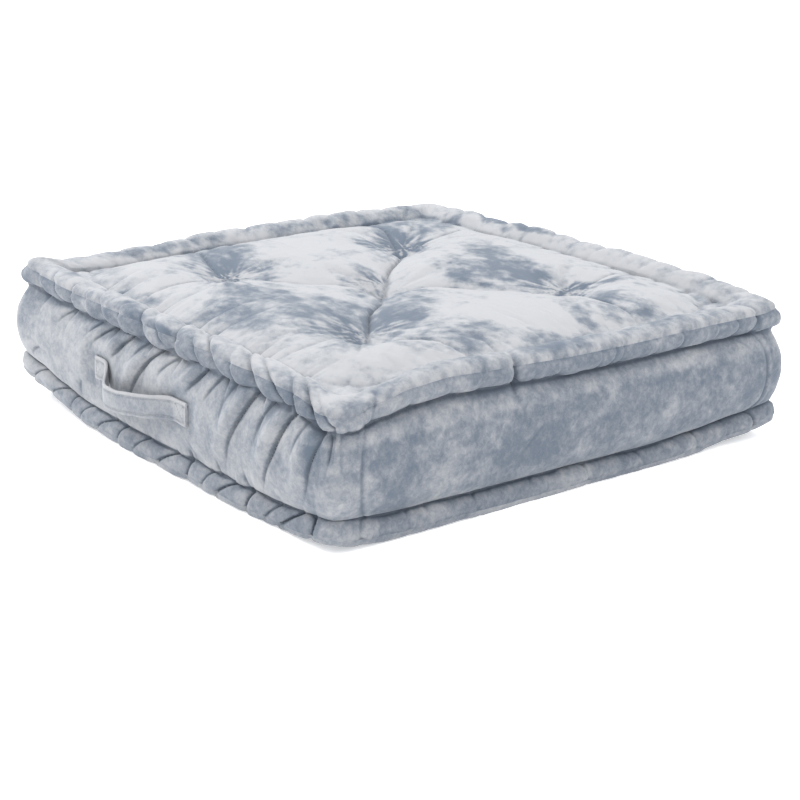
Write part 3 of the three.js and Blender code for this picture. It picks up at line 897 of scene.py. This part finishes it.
def tube_ring(name, z, section, segments, p, table):
    """A closed ring of oval section that follows the edge of the cushion and rises with its roll."""
    u, half_w, half_h = section
    a, b = ring_directions(60)
    x0, y0 = outline(a, b, p)
    shift = rise(a, b, table)
    rows = []
    for k in range(segments):
        angle = 2 * pi * k / segments
        reach = HALF + u + half_w * cos(angle)
        rows.append(np.stack([x0 * reach, y0 * reach, z + shift + half_h * sin(angle)], -1))
    faces = np.array(grid_faces(segments + 1, len(a), closed=True)) % (segments * len(a))
    return mesh_object(name, np.stack(rows), faces.tolist())


# ---- materials --------------------------------------------------------------------------


class Sheet:
    """A node tree being filled in: new nodes by type, and links by place."""

    def __init__(self, tree):
        self.tree = tree

    def feed(self, socket, value):
        """Links a value that is a socket, and sets any other."""
        if isinstance(value, bpy.types.NodeSocket):
            self.tree.links.new(value, socket)
        else:
            socket.default_value = value

    def add(self, kind, inputs=(), **settings):
        node = self.tree.nodes.new(kind)
        for key, value in settings.items():
            setattr(node, key, value)
        for key, value in dict(inputs).items():
            self.feed(node.inputs[key], value)
        return node

    def where(self):
        """Places in the object's own frame."""
        return self.add("ShaderNodeTexCoord").outputs["Object"]

    def math(self, operation, *values, clamp=False):
        return self.add(
            "ShaderNodeMath", dict(enumerate(values)), operation=operation, use_clamp=clamp
        ).outputs[0]

    def stir(self, base, value, amount, clamp=False):
        """The base moved up and down by a noise whose middle is a half."""
        centred = self.math("SUBTRACT", value, 0.5)
        return self.math("MULTIPLY_ADD", centred, amount, base, clamp=clamp)

    def mix(self, factor, a, b):
        return self.add("ShaderNodeMix", {0: factor, 6: a, 7: b}, data_type="RGBA").outputs[2]

    def remap(self, value, low, high, to_low=0.0, to_high=1.0):
        inputs = {0: value, 1: low, 2: high, 3: to_low, 4: to_high}
        return self.add("ShaderNodeMapRange", inputs, interpolation_type="SMOOTHSTEP").outputs[0]

    def noise(self, scale, detail=3.0, roughness=0.6, vector=None, distortion=0.0):
        inputs = {"Scale": scale, "Detail": detail, "Roughness": roughness, "Distortion": distortion}
        if vector is not None:
            inputs["Vector"] = vector
        return self.add("ShaderNodeTexNoise", inputs).outputs["Fac"]


def new_group(name, inputs, outputs):
    """An empty shader group with the named sockets, and its two end nodes."""
    group = bpy.data.node_groups.new(name, "ShaderNodeTree")
    for label, kind, default in inputs:
        socket = group.interface.new_socket(label, in_out="INPUT", socket_type=kind)
        socket.default_value = default
    for label, kind in outputs:
        group.interface.new_socket(label, in_out="OUTPUT", socket_type=kind)
    sheet = Sheet(group)
    return group, sheet, sheet.add("NodeGroupInput"), sheet.add("NodeGroupOutput")


def pile_group():
    """Velvet pile: breaks up a darkness value into ragged brush marks, and gives fine relief."""
    found = bpy.data.node_groups.get("velvet_pile")
    if found:
        return found
    group, sheet, ends_in, ends_out = new_group(
        "velvet_pile",
        (("Nap_and_shade", "NodeSocketFloat", 0.5), ("Ragged", "NodeSocketFloat", 0.35),
         ("Light", "NodeSocketColor", (0.7, 0.72, 0.76, 1)),
         ("Dark", "NodeSocketColor", (0.3, 0.35, 0.42, 1))),
        (("Colour", "NodeSocketColor"), ("Height", "NodeSocketFloat"), ("Nap_and_shade", "NodeSocketFloat")),
    )
    given = ends_in.outputs
    where = sheet.where()
    cloud = sheet.noise(48.0, 8.0, 0.74, where, 0.7)
    flecks = sheet.noise(170.0, 6.0, 0.75, where, 0.5)
    hairs = sheet.noise(1500.0, 2.0, 0.6, where)
    broken = sheet.stir(given["Nap_and_shade"], cloud, given["Ragged"])
    broken = sheet.stir(broken, flecks, 1.1)
    mask = sheet.remap(broken, -0.1, 1.12)
    tint = sheet.stir(mask, hairs, 0.22, clamp=True)
    colour = sheet.mix(tint, given["Light"], given["Dark"])
    crush = sheet.noise(95.0, 3.0, 0.6, where, 0.5)
    height = sheet.math("MULTIPLY_ADD", hairs, 0.25, sheet.math("MULTIPLY", crush, 0.9))
    height = sheet.math("MULTIPLY_ADD", flecks, 0.5, height)
    for label, value in (("Colour", colour), ("Height", height), ("Nap_and_shade", mask)):
        sheet.feed(ends_out.inputs[label], value)
    return group


def fresh_material(name):
    """A material with an empty node tree."""
    material = bpy.data.materials.new(name)
    material.use_nodes = True
    material.node_tree.nodes.clear()
    return material, Sheet(material.node_tree)


def finish_material(sheet, colour, roughness, bump=None, sheen=0.0):
    """The shader itself. bump is the height, its strength and its depth in metres."""
    inputs = {"Base Color": colour, "Roughness": roughness, "Sheen Weight": sheen,
              "Sheen Roughness": 0.4, "Sheen Tint": (0.9, 0.93, 0.97, 1.0),
              "Specular IOR Level": 0.15}
    if bump:
        relief = {"Strength": bump[1], "Distance": bump[2], "Height": bump[0]}
        inputs["Normal"] = sheet.add("ShaderNodeBump", relief).outputs[0]
    shader = sheet.add("ShaderNodeBsdfPrincipled", inputs)
    sheet.add("ShaderNodeOutputMaterial", {"Surface": shader.outputs[0]})
    return shader


def darker(colour, share):
    """A colour brought down to a share of itself."""
    return tuple(c * share for c in colour[:3]) + (1.0,)


def velvet_material(name, light, dark, ragged):
    """Crushed-look velvet, dark where the piece's stored pile darkness and painted shade say, and darkened
    further in its creases with painted shade.
    """
    material, sheet = fresh_material(name)
    nap_and_shade = sheet.add("ShaderNodeAttribute", attribute_name="nap_and_shade").outputs["Fac"]
    inputs = {"Ragged": ragged, "Light": light, "Dark": dark, "Nap_and_shade": nap_and_shade}
    pile = sheet.add("ShaderNodeGroup", inputs, node_tree=pile_group()).outputs
    rough = sheet.remap(pile["Nap_and_shade"], 0.0, 1.0, 0.86, 0.72)
    # Painted shade: the stored fold depth darkens the colour in creases, towards a deep shade of the dark
    # colour.
    fold = sheet.add("ShaderNodeAttribute", attribute_name="fold").outputs["Fac"]
    shade = sheet.math("MULTIPLY", sheet.remap(fold, 0.0, 1.0), 0.42)
    colour = sheet.mix(shade, pile["Colour"], darker(dark, 0.35))
    finish_material(sheet, colour, rough, (pile["Height"], 0.35, 0.0007), 0.35)
    return material


def strand_material(name, colour, scale):
    """Twisted thread or twine: fine slanting ridges with painted shade between them, and a slight unevenness
    of colour.
    """
    material, sheet = fresh_material(name)
    where = sheet.where()
    turned = sheet.add("ShaderNodeMapping", {"Vector": where, "Rotation": (0.6, 0.5, 0.7)}).outputs[0]
    wave = {"Vector": turned, "Scale": scale, "Distortion": 1.5}
    twist = sheet.add("ShaderNodeTexWave", wave).outputs["Fac"]
    spots = sheet.noise(600.0, 3.0, 0.6, where)
    # Painted shade: the colour darkens in the troughs of the twist; the spots are uneven colour.
    shade = sheet.math("MULTIPLY_ADD", twist, 0.35, sheet.math("MULTIPLY", spots, 0.5))
    finish_material(sheet, sheet.mix(shade, darker(colour, 0.72), colour), 0.7, (twist, 0.5, 0.0002), 0.1)
    return material


def fibre_material():
    """Loose fibre filling."""
    material, sheet = fresh_material("fibre_filling")
    where = sheet.where()
    tufts = sheet.noise(60.0, 6.0, 0.7, where, 1.5)
    hairs = sheet.noise(900.0, 3.0, 0.6, where)
    colour = sheet.mix(tufts, (0.72, 0.71, 0.68, 1), (0.9, 0.89, 0.86, 1))
    finish_material(sheet, colour, 0.95, (sheet.math("MULTIPLY_ADD", hairs, 0.3, tufts), 0.6, 0.002))
    return material


# ---- settings ---------------------------------------------------------------------------


def length_setting(label, text, default, low, high):
    """A length that the user can change."""
    return bpy.props.FloatProperty(
        name=label, description=text, default=default, min=low, max=high, unit="LENGTH", precision=4)


def colour_setting(label, text, default):
    """A colour that the user can change."""
    return bpy.props.FloatVectorProperty(
        name=label, description=text, subtype="COLOR", size=4, min=0, max=1, default=default + (1.0,))


class CushionSizes(bpy.types.PropertyGroup):
    """Sizes a user would change."""

    cloth_spacing: length_setting(
        "Cloth spacing", "Distance between points of the velvet cover", 1.75 * MM, 1.5 * MM, 8.0 * MM)
    strap_width: length_setting(
        "Strap width", "Width of the carrying handle", STRAP_W * MM, 0.02, 0.03)
    strap_thickness: length_setting(
        "Strap thickness", "Thickness of the folded strap", 3.4 * MM, 0.002, 0.004)
    stitch_length: length_setting(
        "Stitch length", "Length of one stitch on the handle", 2.6 * MM, 0.002, 0.005)
    lens: bpy.props.FloatProperty(
        name="Lens", description="Focal length of the camera in millimetres",
        default=80.96, min=20.0, max=200.0)


class CushionColours(bpy.types.PropertyGroup):
    """Colours a user would change."""

    light_nap: colour_setting("Light nap", "Velvet brushed towards the light", (0.384, 0.391, 0.408))
    dark_nap: colour_setting("Dark nap", "Velvet brushed away from the light", (0.115, 0.142, 0.183))
    thread: colour_setting("Thread", "Sewing thread of the handle", (0.40, 0.415, 0.445))
    twine: colour_setting("Twine", "Twine of the tufts and rolls", (0.45, 0.49, 0.55))


def sizes():
    return bpy.context.scene.cushion_sizes


def colours():
    return bpy.context.scene.cushion_colours


RAGGED = {"crown": 0.8, "side": 0.72, "strap": 0.35}  # how broken the nap's patches are


def velvet(part):
    """The velvet of one part of the cushion, made once."""
    name = f"velvet_{part}"
    found = bpy.data.materials.get(name)
    if found:
        return found
    return velvet_material(name, tuple(colours().light_nap), tuple(colours().dark_nap), RAGGED[part])


def finish_cover(obj, part, node, nap_and_shade, fold=None):
    """Stored pile darkness and painted shade, cloth thickness and velvet of one piece of the cover."""
    store(obj, "nap_and_shade", nap_and_shade)
    # A fold depth, when given, is kept for painted crease shade.
    if fold is not None:
        store(obj, "fold", fold)
    thicken(obj)
    finish_piece(obj, velvet(part), (node,))


def cover_cells():
    """Cells across the cushion at the chosen spacing, an even number."""
    across = 2 * (CROWN_HALF + 52.0) * MM  # the crown and both rolls, laid flat
    return int(ceil(across / sizes().cloth_spacing / 2)) * 2


# ---- operators --------------------------------------------------------------------------


SETTLE_FRAMES = 20
SETTLE_CAP = 7.0  # most that a point of the crown moves while it settles
SETTLE_SHARE = 0.65  # share of the fine movement that is kept
SETTLE_BLUR = 14  # movement wider than this many cells is left out
SETTLE_CLOTH = {
    "vertex_group_mass": "sewn", "quality": 6, "mass": 0.2,
    "tension_stiffness": 18, "compression_stiffness": 18, "shear_stiffness": 6,
    "bending_stiffness": 0.3, "use_pressure": True, "uniform_pressure_force": 4.0,
    "shrink_min": -0.022,
}


def settle_crown(points):
    """Lets the top panel billow over its filling and crease itself, held at its edge and tufts."""
    coarse = points[::2, ::2]
    size = len(coarse)
    sheet = mesh_object("crown_settling", coarse, grid_faces(size, size, flip=True))
    x, y = coarse[..., 0].ravel(), coarse[..., 1].ravel()
    inside = CROWN_HALF - np.maximum(np.abs(x), np.abs(y))
    held = 1 - ease(inside / 9.0)
    for away, _ in around_tufts(x, y):
        held = np.maximum(held, 1 - ease((away - 3.0) / 5.0))
    sewn = sheet.vertex_groups.new(name="sewn")
    for i in np.nonzero(held > 0.01)[0]:
        sewn.add([int(i)], float(held[i]), "REPLACE")
    cloth = sheet.modifiers.new("velvet", "CLOTH")
    cloth.settings.effector_weights.gravity = 0.0
    for key, value in SETTLE_CLOTH.items():
        setattr(cloth.settings, key, value)
    cloth.point_cache.frame_start = 1
    cloth.point_cache.frame_end = SETTLE_FRAMES
    scene = bpy.context.scene
    for at in range(1, SETTLE_FRAMES + 1):
        scene.frame_set(at)
    settled = sheet.evaluated_get(bpy.context.evaluated_depsgraph_get()).to_mesh()
    moved = np.empty(size * size * 3)
    settled.vertices.foreach_get("co", moved)
    moved = moved.reshape(size, size, 3) / MM - coarse
    scene.frame_set(1)
    bpy.data.objects.remove(sheet)
    moved = SETTLE_SHARE * (moved - blur(moved, SETTLE_BLUR))
    far = np.linalg.norm(moved, axis=-1, keepdims=True)
    moved *= np.minimum(1.0, SETTLE_CAP / np.maximum(far, 1e-6))
    moved *= (1 - held.reshape(size, size, 1))
    fine = np.zeros_like(points)
    fine[::2, ::2] = moved
    fine[1::2, ::2] = (moved[:-1] + moved[1:]) / 2
    fine[:, 1::2] = (fine[:, :-1:2] + fine[:, 2::2]) / 2
    return points + fine


class CUSHION_OT_top_cover(bpy.types.Operator):
    """Velvet top panel: padded crown with five tufts, wrapped over the upper roll"""

    bl_idname = "cushion.top_cover"
    bl_label = "Top cover"

    def execute(self, context):
        cells = cover_cells()
        points = top_cover(cells)
        points = settle_crown(points)
        obj = mesh_object("cover_top", points, grid_faces(cells + 1, cells + 1))
        fold = fold_depth(points, 1.0, 2)
        # Painted light and shade: darker in folds and lighter on ridges, by the fold depth.
        nap_and_shade = crown_nap_and_shade(points) + np.clip(fold, -0.5, 0.5) * 0.22
        obj.data.flip_normals()
        # The fold depth is stored for painted crease shade in the velvet.
        finish_cover(obj, "crown", "top_panel", nap_and_shade, np.clip(fold, 0, 1) * 0.6)
        return {"FINISHED"}


class CUSHION_OT_side_covers(bpy.types.Operator):
    """Velvet boxing in four panels, from the upper nose seam to the lower one"""

    bl_idname = "cushion.side_covers"
    bl_label = "Side covers"

    def execute(self, context):
        cells = cover_cells()
        points = boxing_cover(cells, sizes().cloth_spacing / MM)
        fold = fold_depth(points, 1.1, 1, True)
        # Painted light and shade: darker in folds and lighter on ridges, by the fold depth.
        nap_and_shade = boxing_nap_and_shade(points) + np.clip(fold, -0.5, 0.5) * 0.3
        cuts = [seam_column(side, place, cells) for side, seams in BOX_SEAMS.items() for place in seams]
        cuts.append(cuts[0] + 4 * cells)
        for side, start, end in zip(("right", "back", "left", "front"), cuts, cuts[1:]):
            columns = np.arange(start, end + 1) % (4 * cells)
            part = points[:, columns]
            faces = grid_faces(part.shape[0], part.shape[1], flip=True)
            obj = mesh_object(f"cover_side_{side}", part, faces)
            # The fold depth is stored for painted crease shade in the velvet.
            crease = np.clip(fold[:, columns], 0, 1)
            finish_cover(obj, "side", f"side_panel_{side}", nap_and_shade[:, columns], crease)
        return {"FINISHED"}


class CUSHION_OT_under_cover(bpy.types.Operator):
    """Velvet underside, flat where it rests, wrapped over the lower roll"""

    bl_idname = "cushion.under_cover"
    bl_label = "Under cover"

    def execute(self, context):
        cells = cover_cells() // 2
        cells += cells % 2
        points = under_cover(cells)
        obj = mesh_object("cover_under", points, grid_faces(cells + 1, cells + 1))
        nap_and_shade = 0.5 + 0.5 * layers(points, 40.0, 91, 4, 0.6)
        finish_cover(obj, "side", "bottom_panel", nap_and_shade)
        return {"FINISHED"}


# Section of the fibre core: distance outside the nose line, height, exponent of its corners
CORE_SECTION = (
    (-60, 6, 30), (-46, 7, 30), (-46, 28, 26), (-26, 35, 22), (-15, 46, 16), (-11, 60, 13),
    (-10, 72, 13), (-11, 86, 13), (-15, 100, 16), (-26, 112, 22), (-46, 118, 26), (-54, 124, 34),
)
CORE_RINGS = (244, 232, 218, 200, 182, 164, 146, 128, 110, 92, 74, 56, 38, 20, 6)  # rings of its top
ROLL_FIBRE = (-24.0, 5.5, 4.2)  # place inside the nose line, half width and half height
ROLL_TWINE = (-37.5, 0.8, 0.8)
# Each roll: height of its fibre and of its running twine, and its rise and fall
FILLINGS = {"top": (136.0, 131.0, TOP_RISE), "bottom": (13.5, 13.0, LOW_RISE)}


class CUSHION_OT_fillings(bpy.types.Operator):
    """Fibre core and the fibre and twine of the two edge rolls, inside the cover"""

    bl_idname = "cushion.fillings"
    bl_label = "Fillings"

    def execute(self, context):
        fibre = fibre_material()
        twine = strand_material("roll_twine", tuple(colours().twine), 900.0)
        self.core(fibre)
        for place, (fibre_z, twine_z, table) in FILLINGS.items():
            roll = tube_ring(f"roll_filling_{place}", fibre_z, ROLL_FIBRE, 16, 26.0, table)
            finish_piece(roll, fibre, (f"edge_roll_{place}",))
            stitch = tube_ring(f"roll_twine_{place}", twine_z, ROLL_TWINE, 8, 40.0, table)
            finish_piece(stitch, twine, (f"roll_stitch_{place}",))
        return {"FINISHED"}

    def core(self, fibre):
        """One closed mass of fibre, a little inside the cover everywhere."""
        a, b = ring_directions(36)
        rows = []
        for u, z, p in CORE_SECTION:
            x0, y0 = outline(a, b, float(p))
            rows.append(np.stack([x0 * (HALF + u), y0 * (HALF + u), np.full_like(a, z)], -1))
        x0, y0 = outline(a, b, 40.0)
        for reach in CORE_RINGS:
            x, y = x0 * reach, y0 * reach
            under = 14.0 + 8.0 * ease((reach - 190) / 50.0)
            rows.append(np.stack([x, y, TOP_ROLL[0][1] + crown_lift(x, y) - under], -1))
        count = len(a)
        faces = grid_faces(len(rows), count, closed=True)
        faces.append(list(range(count))[::-1])
        faces.append([(len(rows) - 1) * count + i for i in range(count)])
        obj = mesh_object("core_filling", np.concatenate(rows), faces)
        finish_piece(obj, fibre, ("core_fill",))


TWINE_R = 1.0  # tuft twine: radius of the shaft, then radius and thickness of its bight
BIGHT_R = 2.2
BIGHT_THICK = 0.8


class CUSHION_OT_tuft_twines(bpy.types.Operator):
    """Twine through each tuft, with a small bight at the bottom of its dimple"""

    bl_idname = "cushion.tuft_twines"
    bl_label = "Tuft twines"

    def execute(self, context):
        material = strand_material("tuft_twine", tuple(colours().twine), 900.0)
        for name, (x, y) in TUFTS.items():
            top = TOP_ROLL[0][1] + float(crown_lift(np.array([float(x)]), np.array([float(y)]))[0])
            deselect()
            bpy.ops.mesh.primitive_cylinder_add(
                vertices=12, radius=TWINE_R * MM, depth=(top - 16.0) * MM,
                location=(x * MM, y * MM, (top + 12.0) / 2 * MM))
            shaft = bpy.context.object
            parts = [shaft]
            for low, tilt in ((top + 0.8, 0.35), (12.5, 0.0)):
                bpy.ops.mesh.primitive_torus_add(
                    major_segments=24, minor_segments=8,
                    major_radius=BIGHT_R * MM, minor_radius=BIGHT_THICK * MM,
                    location=(x * MM, y * MM, low * MM), rotation=(tilt, 0, 0.7))
                parts.append(bpy.context.object)
            deselect()
            for part in parts:
                part.select_set(True)
            bpy.context.view_layer.objects.active = shaft
            bpy.ops.object.join()
            bpy.ops.object.transform_apply(location=True, rotation=True, scale=True)
            shaft.name = f"tuft_bight_{name}"
            finish_piece(shaft, material, (f"tuft_twine_{name}",))
        return {"FINISHED"}


# Middle line of the strap: along the side, distance outside the sewn ends, droop
STRAP_PATH = (
    (-121, 0, -4), (-115, 0, -4), (-108, 0, -4), (-101, 0.2, -4), (-97, 0.8, -2.6), (-93, 3.1, 1),
    (-88, 7.6, 7), (-82, 12.6, 11), (-74, 16.1, 13), (-60, 18.1, 12.6), (-40, 18.4, 10.5),
    (-20, 17.1, 7.6), (0, 13.6, 4.5), (15, 9.1, 2), (27, 4.1, 0.7), (34, 1.3, 0.1),
    (40, 0.2, 0), (47, 0, 0), (54, 0, 0), (61, 0, 0),
)


def strap_frame(count):
    """Points along the strap's middle line, with the outward direction at each."""
    path = [(x, STRAP_Y - out, STRAP_Z - droop) for x, out, droop in STRAP_PATH]
    line, _ = spline(path, count=count)
    along = np.gradient(line, axis=0)
    along[:, 2] = 0
    along /= np.linalg.norm(along, axis=1)[:, None]
    outward = np.stack([along[:, 1], -along[:, 0], np.zeros(len(line))], 1)
    return line, outward


def strap_blend(obj):
    """Bakes the placement of a strap piece into its mesh."""
    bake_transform(obj)


class CUSHION_OT_strap(bpy.types.Operator):
    """Carrying handle: one folded velvet strap, sewn flat at both ends"""

    bl_idname = "cushion.strap"
    bl_label = "Strap"

    def execute(self, context):
        width, thick = sizes().strap_width / MM, sizes().strap_thickness / MM
        steps, around = 190, 48
        line, outward = strap_frame(steps)
        turn = np.linspace(0, 2 * pi, around, endpoint=False)
        across = np.sign(np.cos(turn)) * np.abs(np.cos(turn)) ** 0.55
        up = np.sign(np.sin(turn)) * np.abs(np.sin(turn)) ** 0.42
        section_out, section_up = across * thick / 2, up * width / 2
        hem = 0.75 * bell(np.abs(section_up) - width / 2 + 4.0, 0.9)
        section_out = section_out - np.sign(section_out) * hem
        places = np.arange(steps + 1) / steps
        points = np.zeros((steps + 1, around, 3))
        for i in range(steps + 1):
            rub = np.stack([np.full(around, places[i] * 190), section_up, section_out * 3], -1)
            puff = 0.25 * noise(rub, 14.0, 41) * np.sign(section_out)
            points[i] = line[i] + outward[i] * (section_out + puff)[:, None]
            points[i, :, 2] += section_up * (1 + 0.018 * sin(i * 0.21)) + 0.35 * sin(i * 0.13)
        faces = grid_faces(steps + 1, around, closed=True)
        faces.append(list(range(around)))
        faces.append([steps * around + i for i in range(around)][::-1])
        obj = mesh_object("handle_strap", points, faces)
        nap_and_shade = 0.45 + 0.3 * layers(points * np.array([1, 1, 2.0]), 26.0, 44, 3, 0.6)
        above = points[..., 2] - line[:, 2][:, None]
        nap_and_shade -= 0.5 * ease((above - width * 0.3) / 1.5)
        nap_and_shade += 0.35 * bell(above - width * 0.34, 1.0)
        nap_and_shade -= 0.3 * ease((-points[..., 0] - 92) / 8) + 0.3 * ease((points[..., 0] - 36) / 6)
        store(obj, "nap_and_shade", nap_and_shade)
        activate(obj)
        bpy.ops.object.mode_set(mode="EDIT")
        bpy.ops.mesh.select_all(action="SELECT")
        bpy.ops.mesh.normals_make_consistent(inside=False)
        bpy.ops.object.mode_set(mode="OBJECT")
        nodes = ("handle_tab_left", "handle_tab_right", "handle_grip")
        finish_piece(obj, velvet("strap"), nodes, body=None, smooth=60)
        strap_blend(obj)
        return {"FINISHED"}


def stitch_row(start, end, length):
    """Middles and directions of the stitches of one straight row."""
    start, end = np.asarray(start, float), np.asarray(end, float)
    run = np.linalg.norm(end - start)
    count = max(int(round(run / (length * 1.35))), 1)
    way = (end - start) / run
    return [(start + way * run * (k + 0.5) / count, way, length) for k in range(count)]


def stitches_object(name, stitches, outward, thick=0.32):
    """Small rounded stitches lying on a face, in one mesh."""
    points, faces = [], []
    for middle, way, length in stitches:
        side = np.cross(way, outward)
        base = len(points)
        for t, size in ((-0.5, 0.35), (-0.36, 0.9), (0.0, 1.0), (0.36, 0.9), (0.5, 0.35)):
            lift = 0.22 * (1 - (2 * t) ** 2)
            for k in range(6):
                angle = pi * k / 3
                points.append(middle + way * t * length + side * cos(angle) * thick * size
                              + np.asarray(outward) * (sin(angle) * thick * 0.7 * size + lift))
        for r in range(4):
            for k in range(6):
                n = (k + 1) % 6
                faces.append((base + r * 6 + k, base + r * 6 + n, base + r * 6 + 6 + n, base + r * 6 + 6 + k))
        faces.append([base + k for k in range(6)][::-1])
        faces.append([base + 24 + k for k in range(6)])
    return mesh_object(name, np.array(points), faces)


class CUSHION_OT_handle_stitches(bpy.types.Operator):
    """Box-and-cross stitching on the two sewn ends, and the row along the strap's upper edge"""

    bl_idname = "cushion.handle_stitches"
    bl_label = "Handle stitches"

    def execute(self, context):
        thread = strand_material("handle_thread", tuple(colours().thread), 1600.0)
        length = sizes().stitch_length / MM
        y = STRAP_Y - sizes().strap_thickness / MM / 2 - 0.02
        for name, x in TAB_X.items():
            (w, h), z = BOX_STITCH_HALF, STRAP_Z + TAB_RISE[name]
            corner = [(x - w, y, z - h), (x + w, y, z - h), (x + w, y, z + h), (x - w, y, z + h)]
            rows = []
            for i in range(4):
                rows += stitch_row(corner[i], corner[(i + 1) % 4], length)
            rows += stitch_row(corner[0], corner[2], length)
            rows += stitch_row(corner[1], corner[3], length)
            obj = stitches_object(f"handle_box_stitch_{name}", rows, (0, -1, 0))
            finish_piece(obj, thread, (f"handle_stitch_{name}",))
        line, outward = strap_frame(400)
        rows = []
        half = sizes().strap_thickness / MM / 2
        for up in (STRAP_W / 2 - EDGE_STITCH_IN, -STRAP_W / 2 + EDGE_STITCH_IN):
            face = line + outward * (half - 0.35)
            face[:, 2] += up
            inside = (face[:, 0] > -95) & (face[:, 0] < 37)
            run = face[inside]
            way_out = outward[inside]
            step = 8
            for k in range(0, len(run) - step, step):
                way = run[k + step] - run[k]
                size = np.linalg.norm(way)
                rows.append((run[k + step // 2] + way_out[k + step // 2] * 0.02, way / size, size * 0.74))
        obj = stitches_object("handle_edge_stitch", rows, (0, -1, 0), 0.26)
        finish_piece(obj, thread, body=None)
        strap_blend(obj)
        return {"FINISHED"}


# Camera: turn round the object, height, tilt, distance, and how far the object sits off axis
CAMERA_TURN = 51.4
CAMERA_RISE = 18.13
CAMERA_TILT = 1.34
CAMERA_AWAY = 2033.0
CAMERA_OFF = (-11.7, -13.9)
# Soft square lights: place and size in metres, power in watts
LIGHTS = {
    "key": ((-1.9, -0.9, 1.9), 1.6, 34.0),
    "top": ((0.3, 1.0, 2.6), 2.4, 14.0),
    "fill": ((2.6, -1.0, 0.9), 2.0, 1.6),
}
FLOOR_GLOW = 0.4  # light given off by the floor, so that it stays nearly white


class CUSHION_OT_stage(bpy.types.Operator):
    """Pale floor, soft studio light and the camera"""

    bl_idname = "cushion.stage"
    bl_label = "Stage"

    def execute(self, context):
        deselect()
        bpy.ops.mesh.primitive_plane_add(size=60.0, location=(0, 0, -0.0004))
        floor = context.object
        floor.name = "floor"
        material, sheet = fresh_material("pale_floor")
        grain = sheet.noise(4.0, 2.0, 0.5, sheet.where())
        pale = sheet.mix(grain, (0.92, 0.92, 0.925, 1), (0.94, 0.94, 0.94, 1))
        shader = finish_material(sheet, pale, 0.9)
        sheet.feed(shader.inputs["Emission Color"], (1, 1, 1, 1))
        sheet.feed(shader.inputs["Emission Strength"], FLOOR_GLOW)
        floor.data.materials.append(material)
        for name, (place, size, power) in LIGHTS.items():
            self.light(name, place, size, power)
        context.scene.world = self.studio()
        context.scene.view_settings.view_transform = "Standard"
        self.camera(context)
        return {"FINISHED"}

    def studio(self):
        """Light that is bright above and quieter towards the floor, in front of a white backdrop."""
        world = bpy.data.worlds.new("studio")
        world.use_nodes = True
        sheet = Sheet(world.node_tree)
        sheet.tree.nodes.clear()
        generated = sheet.add("ShaderNodeTexCoord").outputs["Generated"]
        way = sheet.add("ShaderNodeSeparateXYZ", {0: generated})
        height = sheet.remap(way.outputs["Z"], 0.0, 0.9, 0.28, 1.85)
        seen = sheet.add("ShaderNodeLightPath").outputs["Is Camera Ray"]
        strength = sheet.math("MULTIPLY_ADD", sheet.math("SUBTRACT", 1.0, height), seen, height)
        back = sheet.add("ShaderNodeBackground", {"Color": (1, 1, 1, 1), "Strength": strength})
        sheet.add("ShaderNodeOutputWorld", {"Surface": back.outputs[0]})
        return world

    def light(self, name, place, size, power):
        """A soft square light aimed at the cushion."""
        data = bpy.data.lights.new(name, "AREA")
        data.size = size
        data.energy = power
        lamp = bpy.data.objects.new(name, data)
        lamp.location = place
        lamp.rotation_euler = (Vector((0, 0, 0.08)) - Vector(place)).to_track_quat("-Z", "Y").to_euler()
        bpy.context.scene.collection.objects.link(lamp)

    def camera(self, context):
        """A camera aimed past the cushion's origin by CAMERA_OFF."""
        a, e, r = radians(CAMERA_TURN), radians(CAMERA_RISE), radians(CAMERA_TILT)
        back = Vector((sin(a) * cos(e), -cos(a) * cos(e), sin(e)))
        right = Vector((cos(a), sin(a), 0))
        up = back.cross(right)
        x_axis = right * cos(r) + up * sin(r)
        y_axis = up * cos(r) - right * sin(r)
        place = (x_axis * -CAMERA_OFF[0] + y_axis * -CAMERA_OFF[1] + back * CAMERA_AWAY) * MM
        data = bpy.data.cameras.new("camera")
        data.sensor_width = 36.0
        data.lens = sizes().lens
        data.clip_end = 100.0
        camera = bpy.data.objects.new("camera", data)
        camera.matrix_world = Matrix.Translation(place) @ Matrix((x_axis, y_axis, back)).transposed().to_4x4()
        context.scene.collection.objects.link(camera)
        context.scene.camera = camera


STEPS = (
    CUSHION_OT_stage,
    CUSHION_OT_top_cover,
    CUSHION_OT_side_covers,
    CUSHION_OT_under_cover,
    CUSHION_OT_fillings,
    CUSHION_OT_tuft_twines,
    CUSHION_OT_strap,
    CUSHION_OT_handle_stitches,
)


class CUSHION_PT_panel(bpy.types.Panel):
    """Settings and steps of the cushion"""

    bl_idname = "CUSHION_PT_panel"
    bl_label = "Cushion"
    bl_space_type = "VIEW_3D"
    bl_region_type = "UI"
    bl_category = "Cushion"

    def draw(self, context):
        for group in (context.scene.cushion_sizes, context.scene.cushion_colours):
            for key in group.__annotations__:
                self.layout.prop(group, key)
        for step in STEPS:
            self.layout.operator(step.bl_idname)


CLASSES = (CushionSizes, CushionColours) + STEPS + (CUSHION_PT_panel,)


def register():
    for cls in CLASSES:
        bpy.utils.register_class(cls)
    bpy.types.Scene.cushion_sizes = bpy.props.PointerProperty(type=CushionSizes)
    bpy.types.Scene.cushion_colours = bpy.props.PointerProperty(type=CushionColours)


def unregister():
    del bpy.types.Scene.cushion_colours
    del bpy.types.Scene.cushion_sizes
    for cls in reversed(CLASSES):
        bpy.utils.unregister_class(cls)


def main():
    register()
    for step in STEPS:
        group, name = step.bl_idname.split(".")
        getattr(getattr(bpy.ops, group), name)()


if __name__ == "__main__":
    main()
